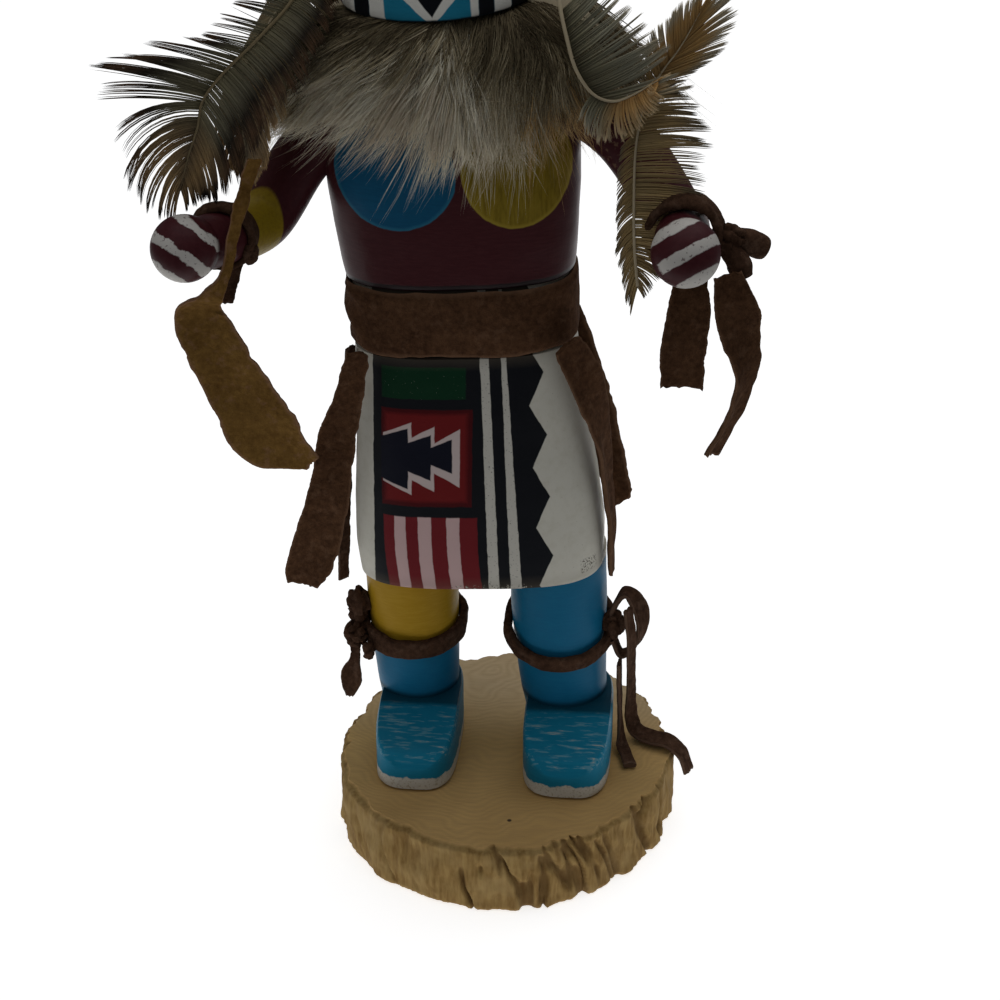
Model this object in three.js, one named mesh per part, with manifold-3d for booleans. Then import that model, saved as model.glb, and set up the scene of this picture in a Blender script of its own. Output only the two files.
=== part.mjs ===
// A carved and painted kachina doll standing on a round slice of wood, dressed in suede,
// rabbit fur and feathers. Millimetres, +Z up. The origin is the centre of the slice's flat
// underside. The doll faces -Y, so its own right hand is at -X and its left hand at +X.
import * as THREE from 'three';
import { mergeVertices } from 'three/addons/utils/BufferGeometryUtils.js';
import Module from 'manifold-3d';

const wasm = await Module();
wasm.setup();

// ---- driving dimensions -------------------------------------------------------------------
const GAP = 0.35; // left between pieces that touch

const BASE_RADIUS = 42;
const BASE_HEIGHT = 19;
const BASE_CHAMFER = 0.9;

const LEAN = THREE.MathUtils.degToRad(3.6); // the figure leans towards its own right
const FEET_X = -3; // middle of the two feet on the slice
const BODY_Y = 6; // depth of the body's axis

const HEM = 71.7; // heights up the figure's leaning axis
const BELT_BOTTOM = 132.5;
const BELT_TOP = 148.7;
const BELT_THICK = 1.4;
const NECK = 198;
const MASK_RIM = 213;
const MASK_TOP = 264;
const MASK_RADIUS = 21.7;

const INSTEP = 34.2; // top of the foot where it meets the shin
const TOE_Y = -21.8;
const HEEL_Y = 18;
const FEET = {
  right: { knee: -24.2, kneeRadius: 11.4, ankle: -22.8, ankleRadius: 10.1, sole: -21.5, width: 20.2 },
  left: { knee: 11.9, kneeRadius: 11.9, ankle: 14, ankleRadius: 10.7, sole: 15.9, width: 21.8 },
};

const ARM_RADIUS = 6.5;
const FIST_RADIUS = 7.4;
const ARMS = {
  right: { shoulder: [-36, 7, 186], upper: [-47, 4, 173.6], elbow: [-54.8, -3, 162], wrist: [-62, -20, 164], fist: [-67, -29, 165.5] },
  left: { shoulder: [14, 7, 189], upper: [25.4, 4, 181.6], elbow: [37.4, -4, 166.8], wrist: [39.6, -22, 168.6], fist: [40.4, -31, 169.6] },
};

const SUEDE = 1.2; // thickness of the suede

const COLOURS = {
  wood: 0xb08a52,
  maroon: 0x5a2226,
  figure: 0xd9d6cc,
  brownSuede: 0x5d4028,
  tanSuede: 0x8a6632,
  thong: 0x4a2f1e,
  fur: 0xb9b29c,
  feather: 0xb09a78,
};

// ---- geometry helpers ---------------------------------------------------------------------
const vec = (x, y, z) => new THREE.Vector3(x, y, z);

// Faces between two neighbouring rings of equal length.
function stitch(index, from, to, count) {
  for (let k = 0; k < count; k += 1) {
    const next = (k + 1) % count;
    index.push(from + k, from + next, to + next, from + k, to + next, to + k);
  }
}

function turnOutward(geometry) {
  const position = geometry.attributes.position;
  const index = geometry.index.array;
  const [a, b, c] = [vec(), vec(), vec()];
  let volume = 0;
  for (let i = 0; i < index.length; i += 3) {
    a.fromBufferAttribute(position, index[i]);
    b.fromBufferAttribute(position, index[i + 1]);
    c.fromBufferAttribute(position, index[i + 2]);
    volume += a.dot(b.cross(c));
  }
  if (volume < 0) {
    for (let i = 0; i < index.length; i += 3) {
      [index[i + 1], index[i + 2]] = [index[i + 2], index[i + 1]];
    }
  }
  return geometry;
}

// A solid skinned over rings of points. An open one is capped at both ends; a closed one
// joins its last ring to its first.
function loft(rings, closed = false) {
  const count = rings[0].length;
  const points = rings.flat();
  const index = [];
  const last = rings.length - 1;
  for (let i = 0; i < last; i += 1) stitch(index, i * count, (i + 1) * count, count);
  if (closed) {
    stitch(index, last * count, 0, count);
  } else {
    for (let k = 1; k < count - 1; k += 1) {
      index.push(0, k + 1, k);
      index.push(last * count, last * count + k, last * count + k + 1);
    }
  }
  const geometry = new THREE.BufferGeometry().setFromPoints(points);
  geometry.setIndex(index);
  return turnOutward(geometry);
}

// One level of the body: a rounded rectangle (a superellipse), squarer as `power` grows.
function level(height, halfWidth, halfDepth, power, segments = 28) {
  const ring = [];
  for (let k = 0; k < segments; k += 1) {
    const t = (2 * Math.PI * k) / segments;
    const bend = (value) => Math.sign(value) * Math.abs(value) ** (2 / power);
    ring.push(vec(halfWidth * bend(Math.cos(t)), BODY_Y + halfDepth * bend(Math.sin(t)), height));
  }
  return ring;
}

// From the figure's own upright frame to the world, where it leans.
const leaning = new THREE.Matrix4()
  .makeTranslation(FEET_X, 0, BASE_HEIGHT)
  .multiply(new THREE.Matrix4().makeRotationY(-LEAN))
  .multiply(new THREE.Matrix4().makeTranslation(0, 0, -BASE_HEIGHT));

function solid(geometry) {
  const bare = new THREE.BufferGeometry();
  bare.setAttribute('position', geometry.attributes.position.clone());
  if (geometry.index) bare.setIndex(geometry.index.clone());
  const merged = mergeVertices(bare, 1e-4);
  return new wasm.Manifold(new wasm.Mesh({
    numProp: 3,
    vertProperties: new Float32Array(merged.attributes.position.array),
    triVerts: new Uint32Array(merged.index.array),
  }));
}

function fromSolid(body) {
  const mesh = body.getMesh();
  const geometry = new THREE.BufferGeometry();
  geometry.setAttribute('position', new THREE.BufferAttribute(new Float32Array(mesh.vertProperties), 3));
  geometry.setIndex([...mesh.triVerts]);
  return geometry;
}

const join = (...parts) => parts.reduce((whole, part) => whole.add(part));
const cut = (whole, ...parts) => parts.reduce((rest, part) => rest.subtract(part), whole);

// Round sections along a route: [centre, radius] pairs.
function limb(stations, segments = 16) {
  const centres = stations.map(([centre]) => vec(...centre));
  const rings = stations.map(([, radius], i) => {
    const before = centres[Math.max(i - 1, 0)];
    const after = centres[Math.min(i + 1, centres.length - 1)];
    const along = after.clone().sub(before).normalize();
    const side = vec(0, 0, 1).cross(along).normalize();
    const up = along.clone().cross(side);
    return Array.from({ length: segments }, (_, k) => {
      const t = (2 * Math.PI * k) / segments;
      return centres[i].clone()
        .addScaledVector(side, radius * Math.cos(t))
        .addScaledVector(up, radius * Math.sin(t));
    });
  });
  return loft(rings);
}

function ball(centre, radius, stretch = [1, 1, 1], segments = 16) {
  const geometry = new THREE.SphereGeometry(radius, segments, Math.round(segments * 0.6));
  geometry.scale(...stretch);
  geometry.translate(...centre);
  return geometry;
}

// A flat strap. Each control is [x, y, z, width, turn]: turn is the angle in degrees, about
// the vertical, from +X to the direction in which the width lies. `section` shapes the cut.
// A `facing` strap keeps its broad face to that direction's right angle instead, so that it
// can bend sideways in its own plane, as a feather does.
function strap(route, thickness = SUEDE, steps = 10, section = flatSection, facing = false) {
  const curve = new THREE.CatmullRomCurve3(route.map(([x, y, z]) => vec(x, y, z)), false, 'centripetal');
  const rings = [];
  for (let i = 0; i <= steps; i += 1) {
    const t = i / steps;
    const at = t * (route.length - 1);
    const k = Math.min(Math.floor(at), route.length - 2);
    const blend = (column) => THREE.MathUtils.lerp(route[k][column], route[k + 1][column], at - k);
    const turn = THREE.MathUtils.degToRad(blend(4));
    const along = curve.getTangent(t);
    const side = vec(Math.cos(turn), Math.sin(turn), 0);
    if (facing) side.set(-Math.sin(turn), Math.cos(turn), 0).cross(along);
    side.addScaledVector(along, -side.dot(along)).normalize();
    const face = along.clone().cross(side);
    rings.push(section.map(([across, through]) => curve.getPoint(t)
      .addScaledVector(side, across * blend(3) * 0.5)
      .addScaledVector(face, through * thickness * 0.5)));
  }
  return loft(rings);
}

const flatSection = [[-1, -1], [1, -1], [1, 1], [-1, 1]];
const softSection = [[-1, 0], [-0.75, -1], [0.75, -1], [1, 0], [0.75, 1], [-0.75, 1]];
const vaneSection = [[-1, -0.3], [0, -1], [1, -0.3], [1, 0.3], [0, 1], [-1, 0.3]];

// ---- the slice of wood --------------------------------------------------------------------
function baseSlice() {
  const segments = 52;
  const outline = (height, inset) => Array.from({ length: segments }, (_, k) => {
    const t = (2 * Math.PI * k) / segments;
    const wander = 0.9 * Math.cos(2 * t + 3.8) + 0.35 * Math.sin(5 * t + 2) + 0.3 * Math.sin(13 * t) + 0.25 * Math.sin(19 * t + 1);
    const radius = BASE_RADIUS + wander - inset;
    return vec(radius * Math.cos(t), radius * Math.sin(t), height);
  });
  return loft([
    outline(0, BASE_CHAMFER),
    outline(1.2, 0),
    outline(BASE_HEIGHT - 1, 0.1),
    outline(BASE_HEIGHT, BASE_CHAMFER),
  ]);
}

// ---- the carved figure --------------------------------------------------------------------
// [height, half width, half depth, squareness] up the leaning axis.
const KILT = [
  [HEM, 29.8, 17.2, 3.1],
  [80, 30.1, 17.2, 3.1],
  [95, 29.1, 16.7, 3],
  [110, 27.4, 16, 2.9],
  [BELT_BOTTOM - 0.5, 25.8, 15.1, 2.8],
];
const TORSO = [
  [BELT_BOTTOM - 0.8, 24.8, 14.2, 2.8],
  [BELT_TOP + 0.4, 25.2, 14.2, 2.7],
  [BELT_TOP + 0.9, 26.4, 15.4, 2.7],
  [158, 27.5, 15.6, 2.6],
  [170, 28.6, 15.8, 2.5],
  [178, 28.9, 15.6, 2.4],
  [184, 28, 14.8, 2.3],
  [189, 25, 13.6, 2.2],
  [193, 20, 12.6, 2],
  [NECK, 13.5, 12, 2],
  [MASK_RIM + 1, 12.4, 12, 2],
];

function body(levels, grow = 0) {
  return solid(loft(levels.map(([height, wide, deep, power]) => level(height, wide + grow, deep + grow, power)))
    .applyMatrix4(leaning));
}

function mask(grow = 0) {
  const dome = 12;
  const rings = [level(MASK_RIM - grow, MASK_RADIUS - 0.8 + grow, MASK_RADIUS - 0.8 + grow, 2)];
  rings.push(level(MASK_RIM + 1, MASK_RADIUS + grow, MASK_RADIUS + grow, 2));
  const shoulder = MASK_TOP - dome;
  for (let i = 0; i <= 5; i += 1) {
    const t = (i / 5) * 1.42;
    const radius = (MASK_RADIUS - dome + dome * Math.cos(t) ** 0.8) * (1 - 0.015 * i) + grow;
    rings.push(level(shoulder + dome * Math.sin(t), radius, radius, 2));
  }
  return solid(loft(rings).applyMatrix4(leaning));
}

function leg({ knee, kneeRadius, ankle, ankleRadius, sole }, grow = 0) {
  const axisY = BODY_Y + 0.5;
  const mix = THREE.MathUtils.lerp;
  return solid(limb([
    [[sole, axisY, BASE_HEIGHT + 4], ankleRadius - 0.4 + grow],
    [[ankle, axisY, INSTEP], ankleRadius + grow],
    [[mix(ankle, knee, 0.35), axisY, 45], mix(ankleRadius, kneeRadius, 0.5) + grow],
    [[mix(ankle, knee, 0.65), axisY, 56], kneeRadius - 0.1 + grow],
    [[knee, axisY, HEM + 4], kneeRadius + 0.2 + grow],
  ], 20));
}

// A boot: the side view of the foot, cut to the plan of the sole.
function boot({ sole, width }) {
  const profile = new THREE.Shape();
  profile.moveTo(HEEL_Y, BASE_HEIGHT + GAP);
  profile.lineTo(TOE_Y, BASE_HEIGHT + GAP);
  profile.lineTo(TOE_Y, 25.5);
  profile.quadraticCurveTo(TOE_Y + 0.2, 29, TOE_Y + 4, 30.2);
  profile.lineTo(-4, INSTEP);
  profile.lineTo(HEEL_Y - 2, INSTEP);
  profile.lineTo(HEEL_Y, 30);
  const side = new THREE.ExtrudeGeometry(profile, { depth: width + 2, bevelEnabled: false, curveSegments: 4 });
  side.applyMatrix4(new THREE.Matrix4().set(0, 0, 1, sole - width / 2 - 1, 1, 0, 0, 0, 0, 1, 0, 0, 0, 0, 0, 1));

  const half = width / 2;
  const plan = new THREE.Shape();
  plan.moveTo(-half, HEEL_Y - 8);
  plan.lineTo(-half, TOE_Y + 8);
  plan.bezierCurveTo(-half, TOE_Y + 2, -half * 0.6, TOE_Y, 0, TOE_Y);
  plan.bezierCurveTo(half * 0.6, TOE_Y, half, TOE_Y + 2, half, TOE_Y + 8);
  plan.lineTo(half, HEEL_Y - 8);
  plan.bezierCurveTo(half, HEEL_Y - 2, half * 0.6, HEEL_Y, 0, HEEL_Y);
  plan.bezierCurveTo(-half * 0.6, HEEL_Y, -half, HEEL_Y - 2, -half, HEEL_Y - 8);
  const sole3d = new THREE.ExtrudeGeometry(plan, { depth: 20, bevelEnabled: false, curveSegments: 5 });
  sole3d.translate(sole, 0, BASE_HEIGHT);
  return solid(side).intersect(solid(sole3d));
}

const figure = join(
  body(KILT), body(TORSO), mask(),
  leg(FEET.right), leg(FEET.left), boot(FEET.right), boot(FEET.left),
);
const figureRoom = [body(KILT, GAP), body(TORSO, GAP), mask(GAP), leg(FEET.right, GAP), leg(FEET.left, GAP)];

// ---- arms ---------------------------------------------------------------------------------
function arm({ shoulder, upper, elbow, wrist, fist }, grow = 0) {
  const bend = vec(...elbow).lerp(vec(...wrist), 0.22).toArray();
  const tube = limb([
    [shoulder, ARM_RADIUS + grow],
    [upper, ARM_RADIUS + 0.2 + grow],
    [elbow, ARM_RADIUS + 0.1 + grow],
    [bend, ARM_RADIUS - 0.1 + grow],
    [wrist, ARM_RADIUS - 0.5 + grow],
    [fist, ARM_RADIUS - 0.7 + grow],
  ], 16);
  return join(solid(tube), solid(ball(fist, FIST_RADIUS + grow, [1, 1, 1.06], 16)));
}

const armRoom = [arm(ARMS.right, GAP), arm(ARMS.left, GAP)];

// ---- belt ---------------------------------------------------------------------------------
function belt() {
  const inner = [24.8 + GAP, 14.2 + GAP];
  const at = (height, out, spread) => level(height, inner[0] + out + spread, inner[1] + out + spread, 2.75);
  return loft([
    at(BELT_BOTTOM, 0.1, 0), at(BELT_BOTTOM, BELT_THICK, 0),
    at(BELT_TOP, BELT_THICK, 0.4), at(BELT_TOP, 0.1, 0.4),
  ], true).applyMatrix4(leaning);
}

// ---- suede straps -------------------------------------------------------------------------
const STRAPS = {
  right_belt_tail: [
    [-32.8, -12.6, 134, 5, 12], [-35.6, -10.8, 121.5, 6.6, 8], [-38.7, -9.6, 110.7, 9, 0],
    [-40.4, -9, 99.7, 9.2, 0], [-43.2, -8.6, 87.2, 10.8, 0], [-47.2, -8.4, 74, 10.8, 5], [-48.8, -8.4, 69.4, 7.6, 5],
  ],
  left_belt_tail: [
    [14.4, -9.4, 136.5, 7, 35], [18.8, -6, 126, 9.6, 48], [22.2, -1.8, 111, 9.8, 74],
    [23.8, 0.4, 98, 9.2, 82], [25.0, 1, 85, 8, 86], [25.6, 1.2, 71, 5, 86],
  ],
  left_belt_tail_rear: [
    [13, 18.4, 134, 9, 130], [17.4, 18.2, 118, 10.4, 140], [21.4, 18.2, 101, 10.2, 150], [26.4, 17.8, 81, 7, 160],
  ],
  right_wrist_strip: [
    [-52.4, -21.5, 183.6, 3, 20], [-55.2, -21.8, 174.4, 3, 20], [-57.0, -26.8, 167.5, 2.8, 40],
    [-58.4, -30, 160, 2.6, 40], [-61.4, -30.4, 155, 5, 15], [-65.4, -26, 149.6, 11, 5],
    [-62.6, -23.8, 139, 14, 0], [-57.4, -21.8, 126, 15.6, 0], [-51.8, -20, 115, 17.2, 0], [-43.4, -18.6, 108.4, 5, 0],
  ],
  left_wrist_short_tail: [
    [41.8, -23, 161.6, 7, 0], [41.6, -24.5, 152, 9.6, 0], [40.6, -25.4, 144.4, 9.6, 5], [40.7, -25.6, 135.4, 9.2, 8],
  ],
  left_wrist_long_tail: [
    [49.6, -24.6, 162, 6, 10], [51.6, -25, 155, 9.4, 15], [53, -23.6, 147, 9.6, 35],
    [54.4, -23, 139.5, 8.6, 55], [53, -22, 130, 8, 60], [47.8, -21, 116.6, 7.6, 60],
  ],
};

// Thin thongs that hang or lie free, each with its whole length.
const THONGS = {
  right_belt_thong: [
    [-36.2, -1.5, 130, 3.2, 60], [-37.6, 0.6, 112, 3.2, 60], [-38.8, 1, 94, 3.2, 50],
    [-39.8, 0.6, 78, 3.2, 40], [-40.2, 0.4, 66, 2.8, 40],
  ],
  left_leg_thong: [
    [29.8, -1.4, 62, 3.4, 62], [30.8, -1, 54, 3.4, 62], [31.1, 3, 36, 3.2, 55], [31.4, 6, 25, 4, 45],
    [33.0, 6.4, 20.7, 5.6, 70], [37, 4.4, 20.3, 6, 80], [41, 2.8, 20.5, 5.8, 80],
    [44.6, 0.6, 18.6, 5.2, 75], [46.3, -0.8, 14.4, 4.8, 70],
  ],
  left_leg_strap: [
    [28.0, 0, 45.5, 3.2, 85], [28.4, 1.8, 36, 3.2, 85], [28.6, 3, 27, 3.2, 85],
    [29.2, 1, 21.1, 3.2, 60], [30.6, -3.4, 20.2, 3.2, 10], [31.6, -7.6, 20.1, 3.2, 0],
  ],
};

// A thong tied round a leg: a tilted ring and the lumps of its knot.
function legTie({ x, height, tall, tilt, radius }, extras) {
  const thick = 2.1;
  const segments = 20;
  const rings = Array.from({ length: segments }, (_, k) => {
    const t = (2 * Math.PI * k) / segments;
    const at = (out, up) => vec(
      x + (radius + out) * Math.cos(t),
      BODY_Y + 0.5 + (radius + out) * Math.sin(t),
      height + up + tilt * Math.sin(t),
    );
    return [at(0, -tall / 2), at(thick, -tall / 2), at(thick, tall / 2), at(0, tall / 2)];
  });
  const tied = join(solid(loft(rings, true)), ...extras.map((extra) => solid(extra)));
  return fromSolid(cut(tied, leg(FEET.right, GAP), leg(FEET.left, GAP)));
}

const rightLegTie = () => legTie({ x: -23.7, height: 51.8, tall: 5.2, tilt: 1.8, radius: 11.4 }, [
  ball([-37, 2, 57.5], 3.6, [0.85, 1, 1.3], 8),
  ball([-37.2, -0.6, 50.8], 3.4, [0.9, 1, 0.9], 8),
  ball([-33.8, -3.8, 47.8], 1.7, [1, 1, 1.2], 7),
  strap([[-37.4, -0.6, 50, 2.6, 20], [-37.8, -1.8, 44, 3, 0], [-38.6, -2.6, 39, 5, -10], [-39.2, -3, 33.6, 1.6, 0]], 1.4, 6),
]);

const leftLegTie = () => legTie({ x: 12.8, height: 52.4, tall: 3.8, tilt: 4.2, radius: 12 }, [
  ball([26.4, 2.6, 55.2], 2.6, [1, 1, 1.5], 8),
  strap([[26.2, 3, 54, 3.4, 80], [26.6, 3.4, 60, 3.6, 80], [28.8, 4.4, 62.8, 4.6, 80], [32, 5.4, 59.4, 5.6, 60],
    [33.4, 5.6, 54, 5.2, 60], [31.8, 4.4, 48.2, 4, 70], [28.6, 3.4, 46.4, 3.4, 80], [26.4, 3, 51, 3, 80]], 1.4, 14),
]);

// Suede knotted round each wrist.
const rightWristTie = () => fromSolid(cut(join(
  solid(ball([-61, -17.6, 163.8], 7.8, [1, 0.34, 1], 14)),
  solid(strap([[-58.4, -17, 159, 3.6, 20], [-59.8, -17, 154, 3.8, 20], [-61.6, -17, 148, 3.6, 20]], 2, 4)),
), armRoom[0]));

const leftWristTie = () => fromSolid(cut(join(
  solid(ball([39.8, -18, 168.8], 8.8, [1, 0.42, 1], 14)),
  solid(ball([49, -18.4, 167.6], 3.6, [1.1, 0.8, 0.9], 10)),
  solid(limb([[[49, -18, 168], 2.2], [[54.4, -15, 165.6], 2.9], [[57.2, -14, 164], 2.5]], 9)),
  solid(limb([[[48.4, -19, 167], 2], [[51.6, -20, 163.2], 2.8], [[52.8, -20.4, 160], 2.4]], 9)),
), armRoom[1]));

// ---- fur ruff -----------------------------------------------------------------------------
// A droopy collar: each radial cut is a rounded wedge, longer in front and behind than above
// the arms, and the figure and the arms are cut out of it.
function furRuff(...room) {
  const segments = 28;
  const rings = Array.from({ length: segments }, (_, k) => {
    const t = (2 * Math.PI * k) / segments;
    const lump = 1 + 0.05 * Math.sin(3 * t + 1) + 0.04 * Math.sin(7 * t);
    const droop = 5 * Math.abs(Math.sin(t)) ** 0.7 + 2 * Math.sin(4 * t + 0.5);
    const at = (wide, deep, height) => vec(wide * lump * Math.cos(t), BODY_Y + deep * lump * Math.sin(t), height);
    return [
      at(12.2, 11.8, 200), at(12.4, 11.8, MASK_RIM - 1.4), at(24, 20, MASK_RIM - 1.6), at(33, 23.4, 206),
      at(38.6, 24.2, 198), at(40, 23.4, 190 - droop * 0.4), at(36, 20.6, 184.5 - droop), at(27, 14.6, 186 - droop),
    ];
  });
  return fromSolid(cut(solid(loft(rings, true).applyMatrix4(leaning)), ...room));
}

// ---- feathers -----------------------------------------------------------------------------
// A feather's blade follows its quill; each control is [x, y, z, width, turn].
const FEATHERS = {
  right_side_feather: [
    [-38.9, -1.5, 231, 1.6, 15], [-43, -11.5, 217, 8, 15], [-50.8, -17, 206, 22, 15], [-58.9, -19.5, 196.8, 25, 12],
    [-64.8, -20.8, 188, 21, 10], [-69.2, -21, 176.5, 12, 10],
  ],
  right_under_feather: [
    [-40.6, 2, 227, 1.6, 40], [-46.6, -6, 214, 7, 30], [-53.4, -11.6, 202, 13, 20], [-57.4, -14.4, 190, 13, 10],
    [-59.6, -16, 180.6, 6, 10],
  ],
  left_side_feather: [
    [8.1, -1.5, 231, 1.6, -15], [12.8, -12, 217, 7, -10], [15.6, -18.8, 208, 10, 0], [20, -20.8, 202.4, 10, 0],
    [27.6, -21, 200, 10, 0], [33.4, -20.6, 201.6, 4, 0],
  ],
  left_hand_feather: [
    [30.6, -25.6, 158.5, 3, 0], [29.4, -24, 168, 6, 0], [30.8, -19.4, 177, 9, 0], [31.4, -17, 187, 7.6, 0],
    [34.2, -15.6, 196.6, 11, 0], [39.4, -15, 205.4, 14.5, 0], [45, -14.8, 212.8, 11, 0],
  ],
};

const feather = (route) => strap(route, 1.5, 12, vaneSection, true);

// ---- scene graph --------------------------------------------------------------------------
const doll = new THREE.Group();

function add(name, geometry, colour, roughness = 0.85) {
  const material = new THREE.MeshStandardMaterial({ color: colour, roughness, metalness: 0, flatShading: true });
  const mesh = new THREE.Mesh(geometry, material);
  mesh.name = name;
  doll.add(mesh);
}

add('base_slice', baseSlice(), COLOURS.wood);
add('carved_figure', fromSolid(figure), COLOURS.figure, 0.5);
add('right_arm', fromSolid(cut(arm(ARMS.right), ...figureRoom)), COLOURS.maroon, 0.5);
add('left_arm', fromSolid(cut(arm(ARMS.left), ...figureRoom)), COLOURS.maroon, 0.5);
add('belt', belt(), COLOURS.brownSuede);
for (const [name, route] of Object.entries(STRAPS)) {
  add(name, strap(route, SUEDE, 12), name === 'right_wrist_strip' ? COLOURS.tanSuede : COLOURS.brownSuede);
}
for (const [name, route] of Object.entries(THONGS)) {
  add(name, strap(route, SUEDE, 13, softSection), COLOURS.thong);
}
add('right_leg_tie', rightLegTie(), COLOURS.thong);
add('left_leg_tie', leftLegTie(), COLOURS.thong);
add('right_wrist_tie', rightWristTie(), COLOURS.thong);
add('left_wrist_tie', leftWristTie(), COLOURS.brownSuede);
add('fur_ruff', furRuff(...figureRoom, ...armRoom), COLOURS.fur, 0.95);
for (const [name, route] of Object.entries(FEATHERS)) add(name, feather(route), COLOURS.feather);

export default doll;
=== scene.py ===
# %% [markdown]
# # A carved kachina doll, dressed in suede, rabbit fur and feathers
#
# The real object is a small souvenir carving. One piece of soft cottonwood is turned and
# carved into mask, body, kilt and legs, two arms are glued on, and the figure is painted by
# hand with brushes. Strips of suede are tied round waist, wrists and legs, a ring of rabbit
# fur goes round the neck, and a few feathers are stuck in beside the mask. Everything stands
# on a slice of a branch whose bark has been peeled off.
#
# The solids arrive from the packed model at their real size. This lesson gives each of them
# its looks: finer meshes in the same places, fur and feathers as real strands, and paint,
# suede and wood as node materials.

# %% Load the frame
import math

import bpy
import numpy as np
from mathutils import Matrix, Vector


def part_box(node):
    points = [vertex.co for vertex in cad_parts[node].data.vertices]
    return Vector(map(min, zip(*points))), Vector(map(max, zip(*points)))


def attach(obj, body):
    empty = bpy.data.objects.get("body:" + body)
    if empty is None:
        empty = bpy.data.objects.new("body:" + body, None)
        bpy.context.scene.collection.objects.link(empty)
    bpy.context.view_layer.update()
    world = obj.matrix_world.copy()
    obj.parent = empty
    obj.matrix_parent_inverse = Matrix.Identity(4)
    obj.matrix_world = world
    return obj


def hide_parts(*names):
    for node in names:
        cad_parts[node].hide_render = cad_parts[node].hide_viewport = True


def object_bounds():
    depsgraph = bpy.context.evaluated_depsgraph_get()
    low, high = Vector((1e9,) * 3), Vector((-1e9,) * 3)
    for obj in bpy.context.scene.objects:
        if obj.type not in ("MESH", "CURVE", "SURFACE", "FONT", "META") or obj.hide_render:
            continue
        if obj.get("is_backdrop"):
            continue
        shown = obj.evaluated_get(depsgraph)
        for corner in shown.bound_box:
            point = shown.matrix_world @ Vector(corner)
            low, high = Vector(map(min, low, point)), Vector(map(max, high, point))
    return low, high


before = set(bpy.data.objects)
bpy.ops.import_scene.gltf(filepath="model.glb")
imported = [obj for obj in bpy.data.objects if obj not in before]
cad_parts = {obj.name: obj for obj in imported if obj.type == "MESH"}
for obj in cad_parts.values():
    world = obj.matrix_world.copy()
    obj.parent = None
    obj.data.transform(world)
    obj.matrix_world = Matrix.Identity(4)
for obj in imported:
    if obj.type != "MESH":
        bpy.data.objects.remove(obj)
cad_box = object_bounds()
print("nodes in the frame:", ", ".join(sorted(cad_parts)))

# %% [markdown]
# ## The doll's own measures
#
# Lengths in this lesson are in millimetres, because every part of the doll is a few
# millimetres wide, and they become metres only when a mesh is made. The figure leans a little
# towards its own right, as the real one does, so its paint and its carving are laid out in a
# frame of its own that leans with it: `across` runs from its right hand to its left, `deep`
# from front to back, and `height` up its axis. These numbers are the carver's own.

# %% Measures
MM = 0.001
LEAN = math.radians(3.6)
FEET_ACROSS = -3.0
BASE_TOP = 19.0
BODY_DEEP = 6.0
HEM = 71.7
BELT_BOTTOM = 132.5
BELT_TOP = 148.7
MASK_RIM = 213.0
MASK_TOP = 264.0
MASK_RADIUS = 21.7
SUEDE = 1.2

figure_low, figure_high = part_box("carved_figure")
print("figure stands", round((figure_high.z - figure_low.z) / MM, 1), "mm tall on its slice")


def lean(points):
    """From the figure's own leaning frame to the shared frame."""
    points = np.asarray(points, float)
    across, deep, height = points[..., 0], points[..., 1], points[..., 2] - BASE_TOP
    x = FEET_ACROSS + across * math.cos(LEAN) - height * math.sin(LEAN)
    z = BASE_TOP + across * math.sin(LEAN) + height * math.cos(LEAN)
    return np.stack([x, deep, z], -1)


# %% [markdown]
# ## Camera
#
# A small object looks right from a little way off through a long lens, looking down on it at
# about thirty degrees. The doll is larger than the view: the top of its mask is cut off.

# %% Make the camera
SENSOR = 36.0
LENS = 84.24
CAMERA_PLACE = (0.0434, -0.4847, 0.3669)
CAMERA_PITCH = math.radians(60.4)
CAMERA_TURN = math.radians(5.3)
camera_data = bpy.data.cameras.new("studio_camera")
camera_data.sensor_width = SENSOR
camera_data.lens = LENS
camera_data.clip_start = 0.01
camera = bpy.data.objects.new("studio_camera", camera_data)
camera.location = CAMERA_PLACE
camera.rotation_euler = (CAMERA_PITCH, 0, CAMERA_TURN)
bpy.context.scene.collection.objects.link(camera)
bpy.context.scene.camera = camera
print("camera is", round(camera.location.length, 3), "m from the foot of the doll")

# %% [markdown]
# ## Routes and meshes
#
# Straps, thongs, quills and hairs all follow a smooth line through a few chosen points. A
# centripetal Catmull-Rom curve passes through every point without overshooting, and it is the
# curve the solids were made with, so the fine pieces land where the solids are. Any further
# columns, such as a width, are carried along the same way.


# %% Smooth routes
def smooth_route(controls, count):
    """`count` rows along a centripetal Catmull-Rom curve; columns after x, y, z come along."""
    controls = np.asarray(controls, float)
    padded = np.vstack([2 * controls[0] - controls[1], controls, 2 * controls[-1] - controls[-2]])
    rows = []
    for at in np.linspace(0, len(controls) - 1, count):
        k = min(int(at), len(controls) - 2)
        a, b, c, d = padded[k:k + 4]
        w = at - k
        before, middle, after = (
            max(np.linalg.norm(q[:3] - p[:3]) ** 0.5, 1e-4) for p, q in ((a, b), (b, c), (c, d))
        )
        leave = ((b - a) / before - (c - a) / (before + middle) + (c - b) / middle) * middle
        arrive = ((c - b) / middle - (d - b) / (middle + after) + (d - c) / after) * middle
        row = b + leave * w + (3 * (c - b) - 2 * leave - arrive) * w ** 2
        rows.append(row + (2 * (b - c) + leave + arrive) * w ** 3)
    return np.array(rows)


def unit(vectors):
    """Vectors scaled to length one."""
    vectors = np.asarray(vectors, float)
    return vectors / np.maximum(np.linalg.norm(vectors, axis=-1, keepdims=True), 1e-9)


def directions(points):
    """The direction of travel at each point of a line, or of many lines at once."""
    return unit(np.gradient(points, axis=-2))


def route_length(points):
    """Length of a line of points, in its own units."""
    return float(np.linalg.norm(np.diff(points, axis=0), axis=1).sum())


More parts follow.
